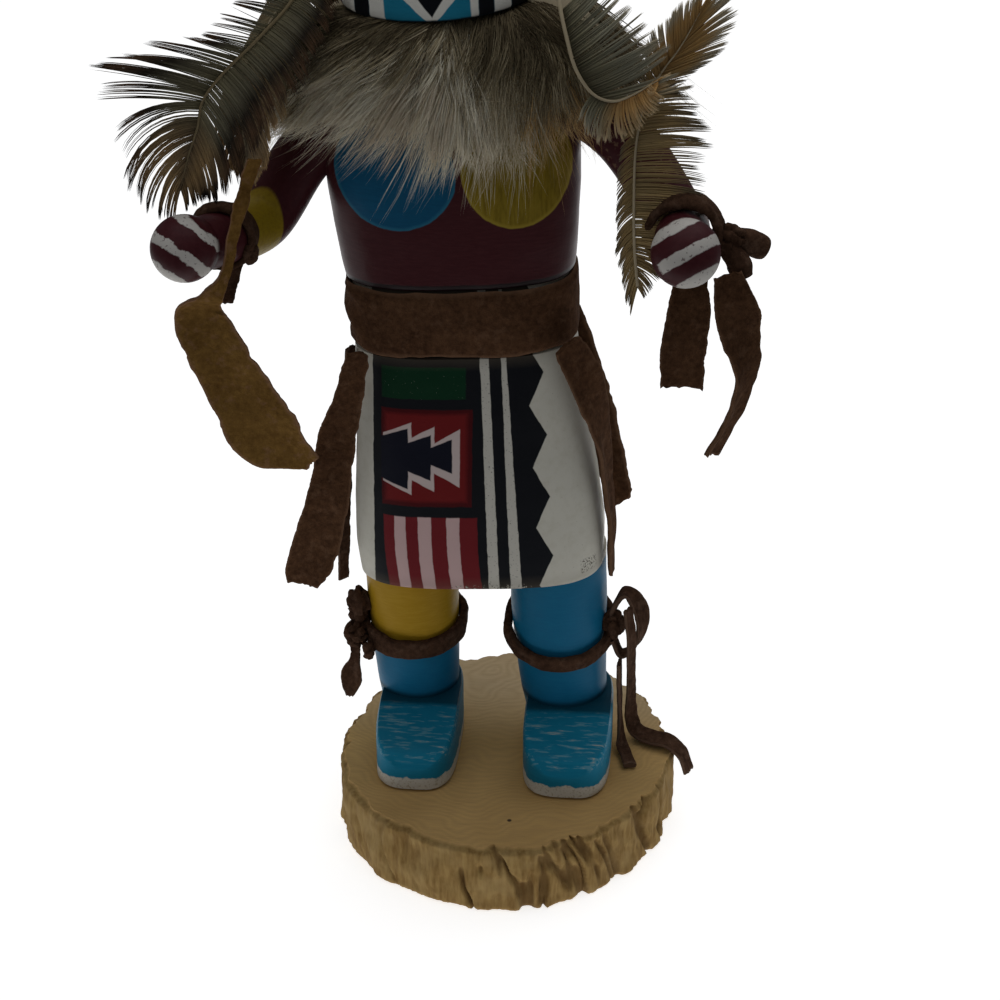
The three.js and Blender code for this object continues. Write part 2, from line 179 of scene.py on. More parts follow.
def turn_round(count):
    """`count` even angles once round."""
    return np.linspace(0, 2 * math.pi, count, endpoint=False)


def squared(value, power):
    """A sine or cosine raised to a power with its sign kept: low powers give square shoulders."""
    return np.sign(value) * np.abs(value) ** power


bow_line = smooth_route([[0, 0, 0], [10, 5, 0], [20, 0, 0]], 41)
print("a smooth route through three points is", round(route_length(bow_line), 2), "mm long")


# %% [markdown]
# A closed mesh can be skinned over rings of points, like the ribs of a boat. One function
# does that for every smooth piece here. Faces are written straight into the mesh's arrays,
# because the fur has hundreds of thousands of them and a loop in Python would be slow.


# %% Skins and meshes
def ring_faces(rings, count, closed=False):
    """Quads between neighbouring rings of `count` points, and the caps at the two ends."""
    k = np.arange(count)
    spans = np.arange(rings if closed else rings - 1)
    start = spans[:, None] * count
    onward = ((spans + 1) % rings)[:, None] * count
    following = (k + 1) % count
    quads = np.stack([start + k, start + following, onward + following, onward + k], -1)
    quads = quads.reshape(-1, 4)
    if closed:
        return quads, []
    return quads, [list(k[::-1]), list((rings - 1) * count + k)]


def new_object(name, points, quads, others=(), smooth=True):
    """A mesh object from points in millimetres, with its faces turned to look outward."""
    mesh = bpy.data.meshes.new(name)
    faces = [list(q) for q in quads] + [list(f) for f in others]
    mesh.from_pydata((np.asarray(points) * MM).tolist(), [], faces)
    mesh.polygons.foreach_set("use_smooth", np.full(len(faces), smooth))
    mesh.update()
    made = bpy.data.objects.new(name, mesh)
    bpy.context.scene.collection.objects.link(made)
    if volume(mesh) < 0:
        mesh.flip_normals()
    return made


def volume(mesh):
    """Signed volume of a closed mesh: negative when its faces look inward."""
    mesh.calc_loop_triangles()
    corners = np.zeros(len(mesh.loop_triangles) * 3, np.int32)
    mesh.loop_triangles.foreach_get("vertices", corners)
    places = np.zeros(len(mesh.vertices) * 3)
    mesh.vertices.foreach_get("co", places)
    a, b, c = places.reshape(-1, 3)[corners.reshape(-1, 3)].transpose(1, 0, 2)
    return float((a * np.cross(b, c)).sum() / 6)


def skin(name, rings, closed=False, sharp=None):
    """A closed smooth piece over rings of points, shape (rings, points, 3), in millimetres."""
    rings = np.asarray(rings, float)
    quads, caps = ring_faces(len(rings), rings.shape[1], closed)
    made = new_object(name, rings.reshape(-1, 3), quads, caps)
    if sharp:
        made.data.set_sharp_from_angle(angle=math.radians(sharp))
    return made


def mark(piece, name, values):
    """Keeps one number for each point of a mesh, for its material to read."""
    kept = piece.data.attributes.new(name, "FLOAT", "POINT")
    kept.data.foreach_set("value", np.asarray(values, np.float32).ravel())


print("five rings of eight points have", len(ring_faces(5, 8)[0]), "quads and two caps")


# %% [markdown]
# Handwork is never quite even. Small random bumps come from value noise: random numbers on a
# grid of cells, blended smoothly between the corners. It needs no stored state, so the same
# point always gets the same bump, and the doll looks the same in every run.


# %% Noise for shapes
def grid_random(cell, seed):
    """A fixed random number from 0 to 1 for each cell of a grid."""
    mixed = (cell * np.array([374761393, 668265263, 1274126177])).sum(-1) + seed * 974634777
    mixed = (mixed ^ (mixed >> 13)) * 1103515245
    return ((mixed ^ (mixed >> 16)) & 0xFFFF) / 65535.0


def noise(points, seed=0):
    """Smooth noise from -1 to 1 at points given in cells."""
    points = np.asarray(points, float)
    cell = np.floor(points).astype(np.int64)
    w = points - cell
    w = w * w * (3 - 2 * w)
    total = 0
    for corner in np.ndindex(2, 2, 2):
        weight = np.prod(np.where(corner, w, 1 - w), -1)
        total = total + weight * grid_random(cell + np.array(corner), seed)
    return total * 2 - 1


def rough(points, size, octaves=3, seed=0):
    """Noise with finer noise on top, its largest lumps `size` millimetres across."""
    points = np.asarray(points, float) / size
    return sum(noise(points * 2 ** k, seed + 17 * k) / 2 ** k for k in range(octaves))


def ease(x, low, high):
    """From 0 at `low` to 1 at `high`, without corners."""
    w = np.clip((np.asarray(x, float) - low) / (high - low), 0, 1)
    return w * w * (3 - 2 * w)


print("noise at one point:", round(float(noise([[0.3, 0.7, 0.1]])[0]), 4))

# %% [markdown]
# ## Writing materials as sums
#
# A shader's maths is a tangle of wires when it is drawn, and a plain sum when it is written.
# `Wire` wraps one output socket and adds a Math node for each `+`, `-`, `*` or `/`. For masks,
# which run from 0 to 1, `&` keeps where both are, `|` keeps where either is, and `~` turns one
# round.


# %% Wires
class Wire:
    """A value on its way between shader nodes."""

    def __init__(self, finish, socket):
        self.finish = finish
        self.socket = socket

    def math(self, operation, *values, clamp=False):
        settings = {"operation": operation, "use_clamp": clamp}
        return self.finish.node("ShaderNodeMath", settings, *values)

    def __add__(self, other):
        return self.math("ADD", self, other)

    def __sub__(self, other):
        return self.math("SUBTRACT", self, other)

    def __rsub__(self, other):
        return self.math("SUBTRACT", other, self)

    def __mul__(self, other):
        return self.math("MULTIPLY", self, other)

    def __truediv__(self, other):
        return self.math("DIVIDE", self, other)

    def __and__(self, other):
        return self.math("MINIMUM", self, other)

    def __or__(self, other):
        return self.math("MAXIMUM", self, other)

    def __invert__(self):
        return 1 - self

    def __abs__(self):
        return self.math("ABSOLUTE", self)

    __radd__ = __add__
    __rmul__ = __mul__

    def above(self, edge, blur):
        """1 where this is above an edge and 0 below it, over a soft step."""
        return self.math("ADD", (self - edge) / blur, 0.5, clamp=True)

    def between(self, low, high, blur):
        """1 between two edges."""
        return self.above(low, blur) & ~self.above(high, blur)

    def fold(self, height):
        """Up from 0 to `height` and down again, over and over, as a saw's teeth are."""
        return self.math("PINGPONG", self, height)


print("besides its signs, a wire has:", ", ".join(name for name in vars(Wire) if name[0] != "_"))

# %% [markdown]
# `Finish` holds one material and adds its nodes. Any node comes from `node`, which sets its
# settings first and then feeds its sockets. The other methods are short names for the few
# nodes that paint, suede and wood are made of: a mix of two colours, a place on the piece, a
# speckle and a bump.


# %% Finishes
class Finish:
    """A material under construction, ending in one surface shader."""

    def __init__(self, name, roughness=0.5, **constants):
        self.material = bpy.data.materials.new(name)
        self.material.use_nodes = True
        self.tree = self.material.node_tree
        self.surface = self.tree.nodes["Principled BSDF"]
        self.feed(self.surface, "Roughness", roughness)
        for socket, value in constants.items():
            self.feed(self.surface, socket.replace("_", " "), value)

    def feed(self, node, socket, value):
        """Links a wire to a socket, or sets a plain value on it."""
        if isinstance(value, Wire):
            self.tree.links.new(value.socket, node.inputs[socket])
        elif isinstance(value, tuple) and len(value) == 3 and node.inputs[socket].type == "RGBA":
            node.inputs[socket].default_value = (*value, 1)
        else:
            node.inputs[socket].default_value = value

    def node(self, kind, settings, *values, output=0, **named):
        """Adds a node: its settings first, then its sockets by place or by name."""
        made = self.tree.nodes.new(kind)
        for key, value in settings.items():
            if key == "stops":
                ramp = made.color_ramp.elements
                for stop, (place, colour) in enumerate(value):
                    element = ramp[stop] if stop < 2 else ramp.new(place)
                    element.position = place
                    element.color = (*colour, 1)
            else:
                setattr(made, key, value)
        for place, value in enumerate(values):
            self.feed(made, place, value)
        for socket, value in named.items():
            self.feed(made, socket.replace("_", " "), value)
        return Wire(self, made.outputs[output])

    def blend(self, mask, under, over):
        """The colour `over` where the mask is 1, on top of the colour `under`."""
        made = self.tree.nodes.new("ShaderNodeMix")
        made.data_type = "RGBA"
        for socket, value in ((0, mask), (6, under), (7, over)):
            self.feed(made, socket, value)
        return Wire(self, made.outputs[2])

    def place(self, scale=1000.0, turn=0.0, shift=(0, 0, 0), stretch=(1, 1, 1)):
        """The point on the piece, in millimetres, moved, turned and stretched."""
        here = self.node("ShaderNodeTexCoord", {}, output="Object")
        grown = tuple(scale * s for s in stretch)
        settings = {"vector_type": "POINT"}
        return self.node("ShaderNodeMapping", settings, here, shift, (0, turn, 0), grown)

    def parts(self, vector):
        """The three parts of a vector."""
        split = self.node("ShaderNodeSeparateXYZ", {}, vector).socket.node
        return [Wire(self, socket) for socket in split.outputs]

    def speckle(self, place, scale, detail=3.0, spread=0.55):
        """Smooth random variation round 0.5."""
        return self.node(
            "ShaderNodeTexNoise", {}, place, Scale=scale, Detail=detail, Roughness=spread
        )

    def mark(self, name):
        """The number that a mesh keeps under this name."""
        return self.node("ShaderNodeAttribute", {"attribute_name": name}, output="Fac")

    def vector_math(self, operation, *values):
        """Length or dot product: vectors in, one number out."""
        return self.node("ShaderNodeVectorMath", {"operation": operation}, *values, output="Value")

    def colour(self, value):
        """Feeds the surface's colour."""
        self.feed(self.surface, "Base Color", value)

    def rough(self, value):
        """Feeds the surface's roughness."""
        self.feed(self.surface, "Roughness", value)

    def relief(self, height, depth, strength=1.0):
        """Bumps of `height` times `depth` millimetres."""
        bump = self.node("ShaderNodeBump", {}, Height=height, Distance=depth * MM, Strength=strength)
        self.feed(self.surface, "Normal", bump)


print("a finish has:", ", ".join(name for name in vars(Finish) if name[0] != "_"))

# %% [markdown]
# Every visible piece is dressed in the same way: it gets its material, rides on the doll's
# one body, and hides the solids that it stands for.


# %% Dress a piece
def dress(piece, finish, slot, *nodes):
    """Gives a piece its material and its place among the doll's parts."""
    piece.data.materials.append(finish.material)
    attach(piece, "root")
    if nodes:
        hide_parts(*nodes)
    many_nodes = len(finish.tree.nodes)
    print(piece.name, "has", len(piece.data.polygons), "faces; its finish has", many_nodes, "nodes")
    return piece

# %% [markdown]
# ## Floor and light
#
# Small goods stand on a sheet of white paper that is lit until it is as bright as the lamps.
# The object is then lit mostly by the white all round it, and has hardly any shadow. A pale
# floor that glows does the same, with two wide soft panels for the tops and the front. The
# glow ends a little in front of the doll, where the sheet would end, so that the doll's front
# isn't lit up from below.

# %% Make the floor
FLOOR_SIZE = 6
GLOW = 0.75
SHEET_FRONT = -125
SHEET_MIDDLE = -60
SHEET_HALF = 310
bpy.ops.mesh.primitive_plane_add(size=FLOOR_SIZE, location=(0, 0, 0))
floor = bpy.context.object
floor.name = "floor"
floor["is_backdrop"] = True
paper = Finish("pale_paper", roughness=0.9, Specular_IOR_Level=0.05, Emission_Strength=GLOW)
floor_across, floor_deep, _ = paper.parts(paper.place())
sheet = floor_deep.above(SHEET_FRONT, 50) & ~abs(floor_across - SHEET_MIDDLE).above(SHEET_HALF, 80)
paper.feed(paper.surface, "Emission Color", paper.blend(sheet, (0.05, 0.05, 0.05), (1, 1, 1)))
paper.colour(paper.blend(sheet, (0.2, 0.2, 0.2), (0.8, 0.8, 0.8)))
floor.data.materials.append(paper.material)
print("the floor is", FLOOR_SIZE, "m wide and its lit sheet", 2 * SHEET_HALF, "mm")

# %% [markdown]
# The panel above stands a little behind the doll and is the stronger one. The panel in front
# is at the doll's right and weak. A faint even light from all sides fills the shadows.


# %% Make the lights
def soft_panel(name, place, aim, size, watts):
    """A wide soft light that looks at a point."""
    data = bpy.data.lights.new(name, "AREA")
    data.size = size
    data.energy = watts
    panel = bpy.data.objects.new(name, data)
    panel.location = place
    panel.rotation_euler = (Vector(aim) - Vector(place)).to_track_quat("-Z", "Y").to_euler()
    bpy.context.scene.collection.objects.link(panel)


soft_panel("panel_above", (0.1, 0.25, 1.1), (0, 0, 0.1), 1.4, 5.5)
soft_panel("panel_front", (-0.6, -0.9, 1.0), (0, 0, 0.12), 1.0, 1.4)
world = bpy.data.worlds.new("studio")
world.use_nodes = True
sky = world.node_tree.nodes["Background"]
sky.inputs["Color"].default_value = (0.9, 0.95, 1, 1)
sky.inputs["Strength"].default_value = 0.12
bpy.context.scene.world = world
bpy.context.scene.view_settings.view_transform = "Standard"
print("lights:", ", ".join(light.name for light in bpy.data.lights))

# %% [markdown]
# ## The slice of wood
#
# The stand is cut across a dry branch. Its top is sawn and sanded smooth. Its side is what is
# left when the bark is pulled off: ochre inner bark with cracks that run up and down, a little
# slanted, and fine fibres between them. Cracks and fibres are real relief here, cut into a
# dense mesh, because they break the outline; the grain on top is paint-thin, so it stays in
# the material. The depth of each crack is kept on the mesh, and the finish paints shade there.


# %% Shape the slice
BASE_RADIUS = 42.0
BASE_CHAMFER = 0.9


def slice_radius(t):
    """The branch isn't quite round."""
    wander = 0.9 * np.cos(2 * t + 3.8) + 0.35 * np.sin(5 * t + 2)
    return BASE_RADIUS + wander + 0.3 * np.sin(13 * t) + 0.25 * np.sin(19 * t + 1)


def bark_depth(t, z):
    """How deep the peeled side is at an angle and a height: cracks, fibres and lumps."""
    slant = t + 0.006 * z + 0.035 * np.sin(z / 5 + 3 * t)
    around = np.stack([BASE_RADIUS * np.cos(slant), BASE_RADIUS * np.sin(slant), z / 5], -1)
    crack = 1 - ease(np.abs(rough(around, 5.2, 3, seed=3)), 0.02, 0.34)
    where = ease(rough(around, 11, 2, seed=8), -0.25, 0.45)
    fibre = rough(around * np.array([1, 1, 0.5]), 0.9, 2, seed=21)
    lump = rough(np.stack([around[..., 0], around[..., 1], z], -1), 6.5, 3, seed=12)
    return 1.75 * crack * where + 0.2 * fibre + 0.55 * lump


def wood_slice():
    """Rings up the side, then inward over the sanded top."""
    t = turn_round(840)
    side = np.linspace(1.2, BASE_TOP - 1.0, 38)
    rings = []
    hollow = []
    circle = np.stack([BASE_RADIUS * np.cos(t), BASE_RADIUS * np.sin(t), t * 0], -1)
    chips = 0.55 + 0.75 * rough(circle, 3.0, 3, 40)
    for z in (0, 0.5, *side, BASE_TOP - 0.45, BASE_TOP - 0.1):
        depth = bark_depth(t, np.full_like(t, z))
        rim = ease(z, BASE_TOP - 1.6, BASE_TOP) * (BASE_CHAMFER + np.maximum(chips, 0))
        foot = (1 - ease(z, 0, 1.2)) * BASE_CHAMFER
        fade = 1 - 0.75 * ease(z, BASE_TOP - 0.8, BASE_TOP)
        radius = slice_radius(t) + 0.55 - depth * fade - rim - foot
        rings.append(np.stack([radius * np.cos(t), radius * np.sin(t), np.full_like(t, z)], -1))
        hollow.append(ease(depth, 0.25, 1.6) * fade)
    edge = rings[-1]
    for share in (0.992, 0.98, 0.95, 0.9, 0.8, 0.65, 0.45, 0.2, 0.02):
        ring = edge * np.array([share, share, 1])
        dip = rough(ring, 17, 2, seed=5) * 0.09 * min(1, (1 - share) * 20)
        ring[:, 2] = BASE_TOP - 0.06 + dip - 0.04
        rings.append(ring)
        hollow.append(np.zeros_like(t))
    made = skin("wood_slice", rings, sharp=60)
    mark(made, "crack", np.concatenate(hollow))
    return made


print("the slice is", 2 * BASE_RADIUS, "mm across and", BASE_TOP, "mm thick")


# %% [markdown]
# Sanded cottonwood is pale, with faint curved growth lines that are crowded towards one side,
# and a dark speck of pith; the back of the top is painted lighter, as light falls there. The
# peeled side is a warmer ochre, paler on the ridges, with painted shade that makes the cracks brown.


# %% Finish the slice
def slice_finish():
    """Growth rings, stains and a painted lighter back on top; streaks and painted shade in the cracks
    on the side.
    """
    wood = Finish("cottonwood", roughness=0.8, Specular_IOR_Level=0.1)
    place = wood.place()
    _, y, z = wood.parts(place)
    crack = wood.mark("crack")
    drift = wood.speckle(place, 0.045, 2)
    from_rings_middle = wood.vector_math("LENGTH", wood.place(shift=(6, -34, -BASE_TOP)))
    years = (from_rings_middle + drift * 26) * 0.52
    ring = years.fold(0.5) * 2
    hair = wood.speckle(wood.place(stretch=(0.25, 3.5, 1)), 0.9, 4)
    stain = wood.speckle(place, 0.03, 3)
    top = wood.blend(stain.above(0.52, 0.3), (0.60, 0.385, 0.15), (0.48, 0.30, 0.11))
    # painted light: the back of the top is lighter, as if lit from behind
    top = wood.blend(y.above(14, 26), top, (0.58, 0.43, 0.25))
    top = wood.blend(ring * 0.26, top, (0.33, 0.21, 0.095))
    top = wood.blend(hair.above(0.58, 0.14) * 0.22, top, (0.28, 0.18, 0.09))
    pith = wood.vector_math("LENGTH", wood.place(shift=(-3.6, 31.2, -BASE_TOP)))
    top = wood.blend(~pith.above(0.55, 0.3), top, (0.07, 0.045, 0.03))
    streak = wood.speckle(wood.place(stretch=(1, 1, 0.16)), 0.85, 4)
    patch = wood.speckle(place, 0.11, 3)
    side = wood.blend(streak.above(0.5, 0.32), (0.20, 0.115, 0.036), (0.33, 0.215, 0.078))
    side = wood.blend(patch.above(0.56, 0.2) * 0.55, side, (0.40, 0.28, 0.12))
    # painted shade: each crack is darkened by its depth
    side = wood.blend(crack * 0.6, side, (0.095, 0.047, 0.016))
    on_top = z.above(BASE_TOP - 0.55, 0.5)
    wood.colour(wood.blend(on_top, side, top))
    wood.rough(0.86 - on_top * 0.2 + (hair - 0.5) * 0.1)
    wood.relief(hair * 0.35 + ring * 0.15 + streak * (1 - on_top) * 1.2, 0.22)
    return wood


dress(wood_slice(), slice_finish(), "bare_wood", "base_slice")

# %% [markdown]
# ## The carved figure
#
# The body is one length of cottonwood. It is shaped like a stack of rounded rectangles: a
# superellipse is a circle with squarer shoulders, and one number says how square. The kilt,
# the trunk, the neck and the mask are one skin over such levels, with a step at every edge
# the knife has left. The legs are skins of round levels, and a boot is a skin whose levels
# climb to the slope of the instep. A boolean union then makes them one solid again.


# %% Levels of the body
def level(height, wide, deep, power=2.0, count=180):
    """One level of the body: a superellipse in the figure's own frame."""
    t = turn_round(count)
    across = wide * squared(np.cos(t), 2 / power)
    back = deep * squared(np.sin(t), 2 / power)
    return np.stack([across, BODY_DEEP + back, np.full(count, float(height))], -1)


KILT = [
    [HEM, 29.8, 17.2, 3.1], [80, 30.1, 17.2, 3.1], [95, 29.1, 16.7, 3.0], [110, 27.4, 16, 2.9],
    [132, 25.8, 15.1, 2.8],
]
TORSO = [
    [149.6, 26.4, 15.4, 2.7], [158, 27.5, 15.6, 2.6], [170, 28.6, 15.8, 2.5],
    [178, 28.9, 15.6, 2.4], [184, 28, 14.8, 2.3], [189, 25, 13.6, 2.2], [193, 20, 12.6, 2],
    [198, 13.5, 12, 2], [212.6, 12.4, 12, 2],
]
STEP = 1.3


def levels_between(stations, step):
    """Levels every `step` millimetres, following the stations."""
    stations = np.array(stations)
    count = int((stations[-1, 0] - stations[0, 0]) / step) + 1
    heights = np.linspace(stations[0, 0], stations[-1, 0], count)
    columns = [np.interp(heights, stations[:, 0], stations[:, k]) for k in (1, 2, 3)]
    return np.stack([heights, *columns], -1)


def carve(points, amount, seed):
    """The small dents and flats that knife and sandpaper leave."""
    middle = np.array([0, BODY_DEEP, 0])
    outward = unit((points - middle) * np.array([1, 1, 0]))
    return points + outward * rough(points, 9, 3, seed)[..., None] * amount


print("kilt levels:", len(levels_between(KILT, STEP)))
print("torso levels:", len(levels_between(TORSO, STEP)))

# %% [markdown]
# The trunk starts under the kilt with a nearly flat bottom, steps in for the belt's groove,
# out again to the torso, and in to the neck. The mask is a cylinder with a rounded rim and a
# low dome.


# %% Carve the trunk
DOME = 12.0
DOME_END = 1.42


def trunk():
    """Kilt, torso, neck and mask as one skin, in the figure's own frame."""
    rows = [(HEM + 0.25, 29.6 * share, 17 * share, 3.1) for share in (0.02, 0.3, 0.6, 0.85, 0.95)]
    rows += [(HEM, 29.0, 16.4, 3.1), (HEM + 0.1, 29.5, 16.9, 3.1), (HEM + 0.45, 29.8, 17.2, 3.1)]
    rows += levels_between(KILT, STEP)[1:].tolist()
    rows += [(132.2, 24.8, 14.2, 2.8), (149.0, 25.2, 14.2, 2.7), (149.1, 26.0, 15.0, 2.7)]
    rows += levels_between(TORSO, STEP).tolist()
    rows += [(MASK_RIM + 0.1, wide, wide) for wide in (12.6, 17, 20.2)]
    rows += [(MASK_RIM + rise, wide, wide) for rise, wide in ((0, 20.9), (0.35, 21.4), (1, 21.7))]
    shoulder = MASK_TOP - DOME
    for height in np.linspace(MASK_RIM + 2.5, shoulder, 26):
        rows.append((height, MASK_RADIUS, MASK_RADIUS))
    for t in np.linspace(0.06, DOME_END, 18):
        radius = MASK_RADIUS - DOME + DOME * math.cos(t) ** 0.8
        radius *= 1 - 0.015 * 5 * t / DOME_END
        rows.append((shoulder + DOME * math.sin(t), radius, radius))
    rings = [level(*row) for row in rows]
    last = rings[-1]
    for share in (0.8, 0.5, 0.2, 0.02):
        ring = last * 1.0
        ring[:, :2] = (ring[:, :2] - [0, BODY_DEEP]) * share + [0, BODY_DEEP]
        ring[:, 2] += (1 - share) * 0.3
        rings.append(ring)
    return skin("figure", lean(carve(np.array(rings), 0.16, seed=2)))


figure = trunk()
print("the trunk has", len(figure.data.polygons), "faces")


# %% [markdown]
# Legs and boots come in pairs that differ a little, as handwork does: where the knee, the
# ankle and the middle of the sole are across the slice, and how wide each is. A leg is a skin
# of round levels from inside the boot to inside the kilt.


# %% Carve the legs
INSTEP = 34.2
LEG_DEEP = 6.5
FEET = {
    "right": {
        "knee": -24.2, "knee_radius": 11.4, "ankle": -22.8, "ankle_radius": 10.1,
        "sole": -21.5, "width": 20.2,
    },
    "left": {
        "knee": 11.9, "knee_radius": 11.9, "ankle": 14.0, "ankle_radius": 10.7,
        "sole": 15.9, "width": 21.8,
    },
}


def leg(name, foot):
    """A round leg from inside the boot to inside the kilt."""
    slim = foot["ankle_radius"]
    full = foot["knee_radius"]
    shin = [np.interp(share, [0, 1], [foot["ankle"], foot["knee"]]) for share in (0.35, 0.65)]
    across = [foot["sole"], foot["ankle"], *shin, foot["knee"]]
    stations = [24.0, INSTEP, 45.0, 56.0, HEM + 4]
    radii = [slim - 0.4, slim, (slim + full) / 2, full - 0.1, full + 0.2]
    t = turn_round(72)
    rings = []
    for height in np.linspace(stations[0], stations[-1], 52):
        radius = np.interp(height, stations, radii)
        middle = np.interp(height, stations, across)
        outward = np.stack([np.cos(t), np.sin(t), 0 * t], -1)
        ring = np.array([middle, LEG_DEEP, height]) + radius * outward
        swell = rough(ring, 8, 2, seed=31)[:, None] * 0.18
        rings.append(ring + swell * outward)
    return skin(name, rings)


print("legs are", [2 * foot["knee_radius"] for foot in FEET.values()], "mm thick at the knee")

# %% [markdown]
# A boot's skin goes up the outline of its sole and then inward over the top of the foot: flat
# at the ankle, down a long slope to the toes, and rounded over at every edge. It starts a
# third of a millimetre above the top of the slice.


# %% Carve the boots
TOE_DEEP = -21.8
HEEL_DEEP = 18.0
SOLE_BOTTOM = BASE_TOP + 0.35
SOLE_SQUARENESS = 2 / 3.6


def foot_top(deep):
    """Height of the top of a boot, from toe to heel."""
    places = [TOE_DEEP, -21.2, -19.8, -17, -4, 15, HEEL_DEEP]
    return np.interp(deep, places, [26.2, 28.2, 29.8, 30.8, INSTEP, INSTEP, 31])


def boot(name, foot):
    """A boot: up the side of the sole's outline, then inward over the top of the foot."""
    t = turn_round(120)
    half = foot["width"] / 2
    length = (HEEL_DEEP - TOE_DEEP) / 2
    middle = (HEEL_DEEP + TOE_DEEP) / 2
    centre = np.array([foot["sole"], middle])
    wide = half * squared(np.cos(t), SOLE_SQUARENESS)
    long = length * squared(np.sin(t), SOLE_SQUARENESS)
    plan = centre + np.stack([wide, long], -1)
    rings = []
    for share in (0.02, 0.5, 0.9):
        ring = centre + (plan - centre) * share
        rings.append(np.column_stack([ring, np.full(120, SOLE_BOTTOM)]))
    for climb in (0.0, 0.03, 0.1, 0.2, 0.3, 0.4, 0.5, 0.6, 0.7, 0.78, 0.86, 0.92, 0.96):
        inset = 0.35 * max(0, 1 - climb / 0.03) + 0.45 * max(0, climb - 0.9) / 0.06
        ring = plan + unit(centre - plan) * inset
        rise = SOLE_BOTTOM + (foot_top(plan[:, 1]) - SOLE_BOTTOM) * climb
        rings.append(np.column_stack([ring, rise]))
    for share in (0.955, 0.91, 0.84, 0.74, 0.62, 0.48, 0.3, 0.12, 0.02):
        ring = centre + (plan - centre) * share
        rise = foot_top(ring[:, 1]) - 0.25 * max(0, share - 0.9) * 10
        rings.append(np.column_stack([ring, rise]))
    rings = np.array(rings)
    bumps = rough(rings, 7, 3, seed=44) * 0.22
    rings[3:, :, 1] += bumps[3:] * np.sign(rings[3:, :, 1] - middle)
    rings[3:, :, 2] += bumps[3:] * ease(rings[3:, :, 2], 22, 28)
    return skin(name, rings)


print("boots are", round(HEEL_DEEP - TOE_DEEP, 1), "mm long")

# %% [markdown]
# The pieces run into each other, and a boolean union with the manifold solver makes one
# closed solid of them. Material slots are cleared afterwards, so that the first paint comes
# first.


# %% Join the figure
def union(whole, *others):
    """One solid out of several that run into each other."""
    for other in others:
        joint = whole.modifiers.new("joint", "BOOLEAN")
        joint.operation = "UNION"
        joint.solver = "MANIFOLD"
        joint.object = other
    evaluated = whole.evaluated_get(bpy.context.evaluated_depsgraph_get())
    joined = bpy.data.meshes.new_from_object(evaluated)
    whole.modifiers.clear()
    whole.data = joined
    joined.materials.clear()
    for other in others:
        bpy.data.objects.remove(other)
    joined.polygons.foreach_set("use_smooth", np.full(len(joined.polygons), True))
    joined.set_sharp_from_angle(angle=math.radians(48))
    return whole


limbs = []
for side, foot in FEET.items():
    limbs += [leg(f"{side}_leg", foot), boot(f"{side}_boot", foot)]
figure = union(figure, *limbs)
print("figure has", len(figure.data.polygons), "faces")

# %% [markdown]
# ## Paint on the figure
#
# The paint is acrylic, laid on by hand with small brushes: flat colours, edges that wander by
# a fraction of a millimetre, and places where the wood or another colour shows. Every edge
# below is a plain comparison in the figure's own millimetres, softened a little. Noise added
# to the coordinates first makes the edges wander together, as a brush does.
#
# Four materials share the figure: mask, torso, kilt and legs.


# %% Paint helpers
def painted(name, roughness, wander=0.3, gloss=0.08):
    """A finish and its leaning coordinates, wandering as a brush does."""
    finish = Finish(name, roughness=roughness, Specular_IOR_Level=gloss)
    shift = (
        -FEET_ACROSS * math.cos(LEAN) - BASE_TOP * math.sin(LEAN), 0,
        BASE_TOP + FEET_ACROSS * math.sin(LEAN) - BASE_TOP * math.cos(LEAN),
    )
    place = finish.place(turn=LEAN, shift=shift)
    across, deep, height = finish.parts(place)
    sway = finish.speckle(place, 0.28, 2)
    lift = finish.speckle(finish.place(shift=(31, 7, 53)), 0.3, 2)
    across = across + (sway - 0.5) * wander * 4
    height = height + (lift - 0.5) * wander * 4
    return finish, place, across, deep, height


def brushed(finish, stretch=(0.35, 0.35, 2.4), scale=0.9):
    """Fine streaks that run along the brush."""
    return finish.speckle(finish.place(stretch=stretch), scale, 4, 0.6)


def flare(s, height, left, right, centre, near, far):
    """A wedge between two uprights, whose half height grows from `near` to `far`."""
    half = (s - left) * ((far - near) / (right - left)) + near
    return s.between(left, right, 0.2) & (half - abs(height - centre)).above(0, 0.25)


WHITE = (0.66, 0.64, 0.56)
BLACK = (0.007, 0.008, 0.011)
MAROON = (0.058, 0.0105, 0.014)
PALE_MAROON = (0.085, 0.02, 0.023)
MASK_WHITE = (0.86, 0.84, 0.77)
SCUFF = (0.42, 0.40, 0.34)
print("paint leans", round(math.degrees(LEAN), 1), "degrees with the figure")

# %% [markdown]
# The kilt's front has a black sash with a green block, a red block with a stepped cloud in
# navy and white, and a striped block. Two white lines run down beside it, and its edge is a
# row of saw teeth. The rest is ivory.


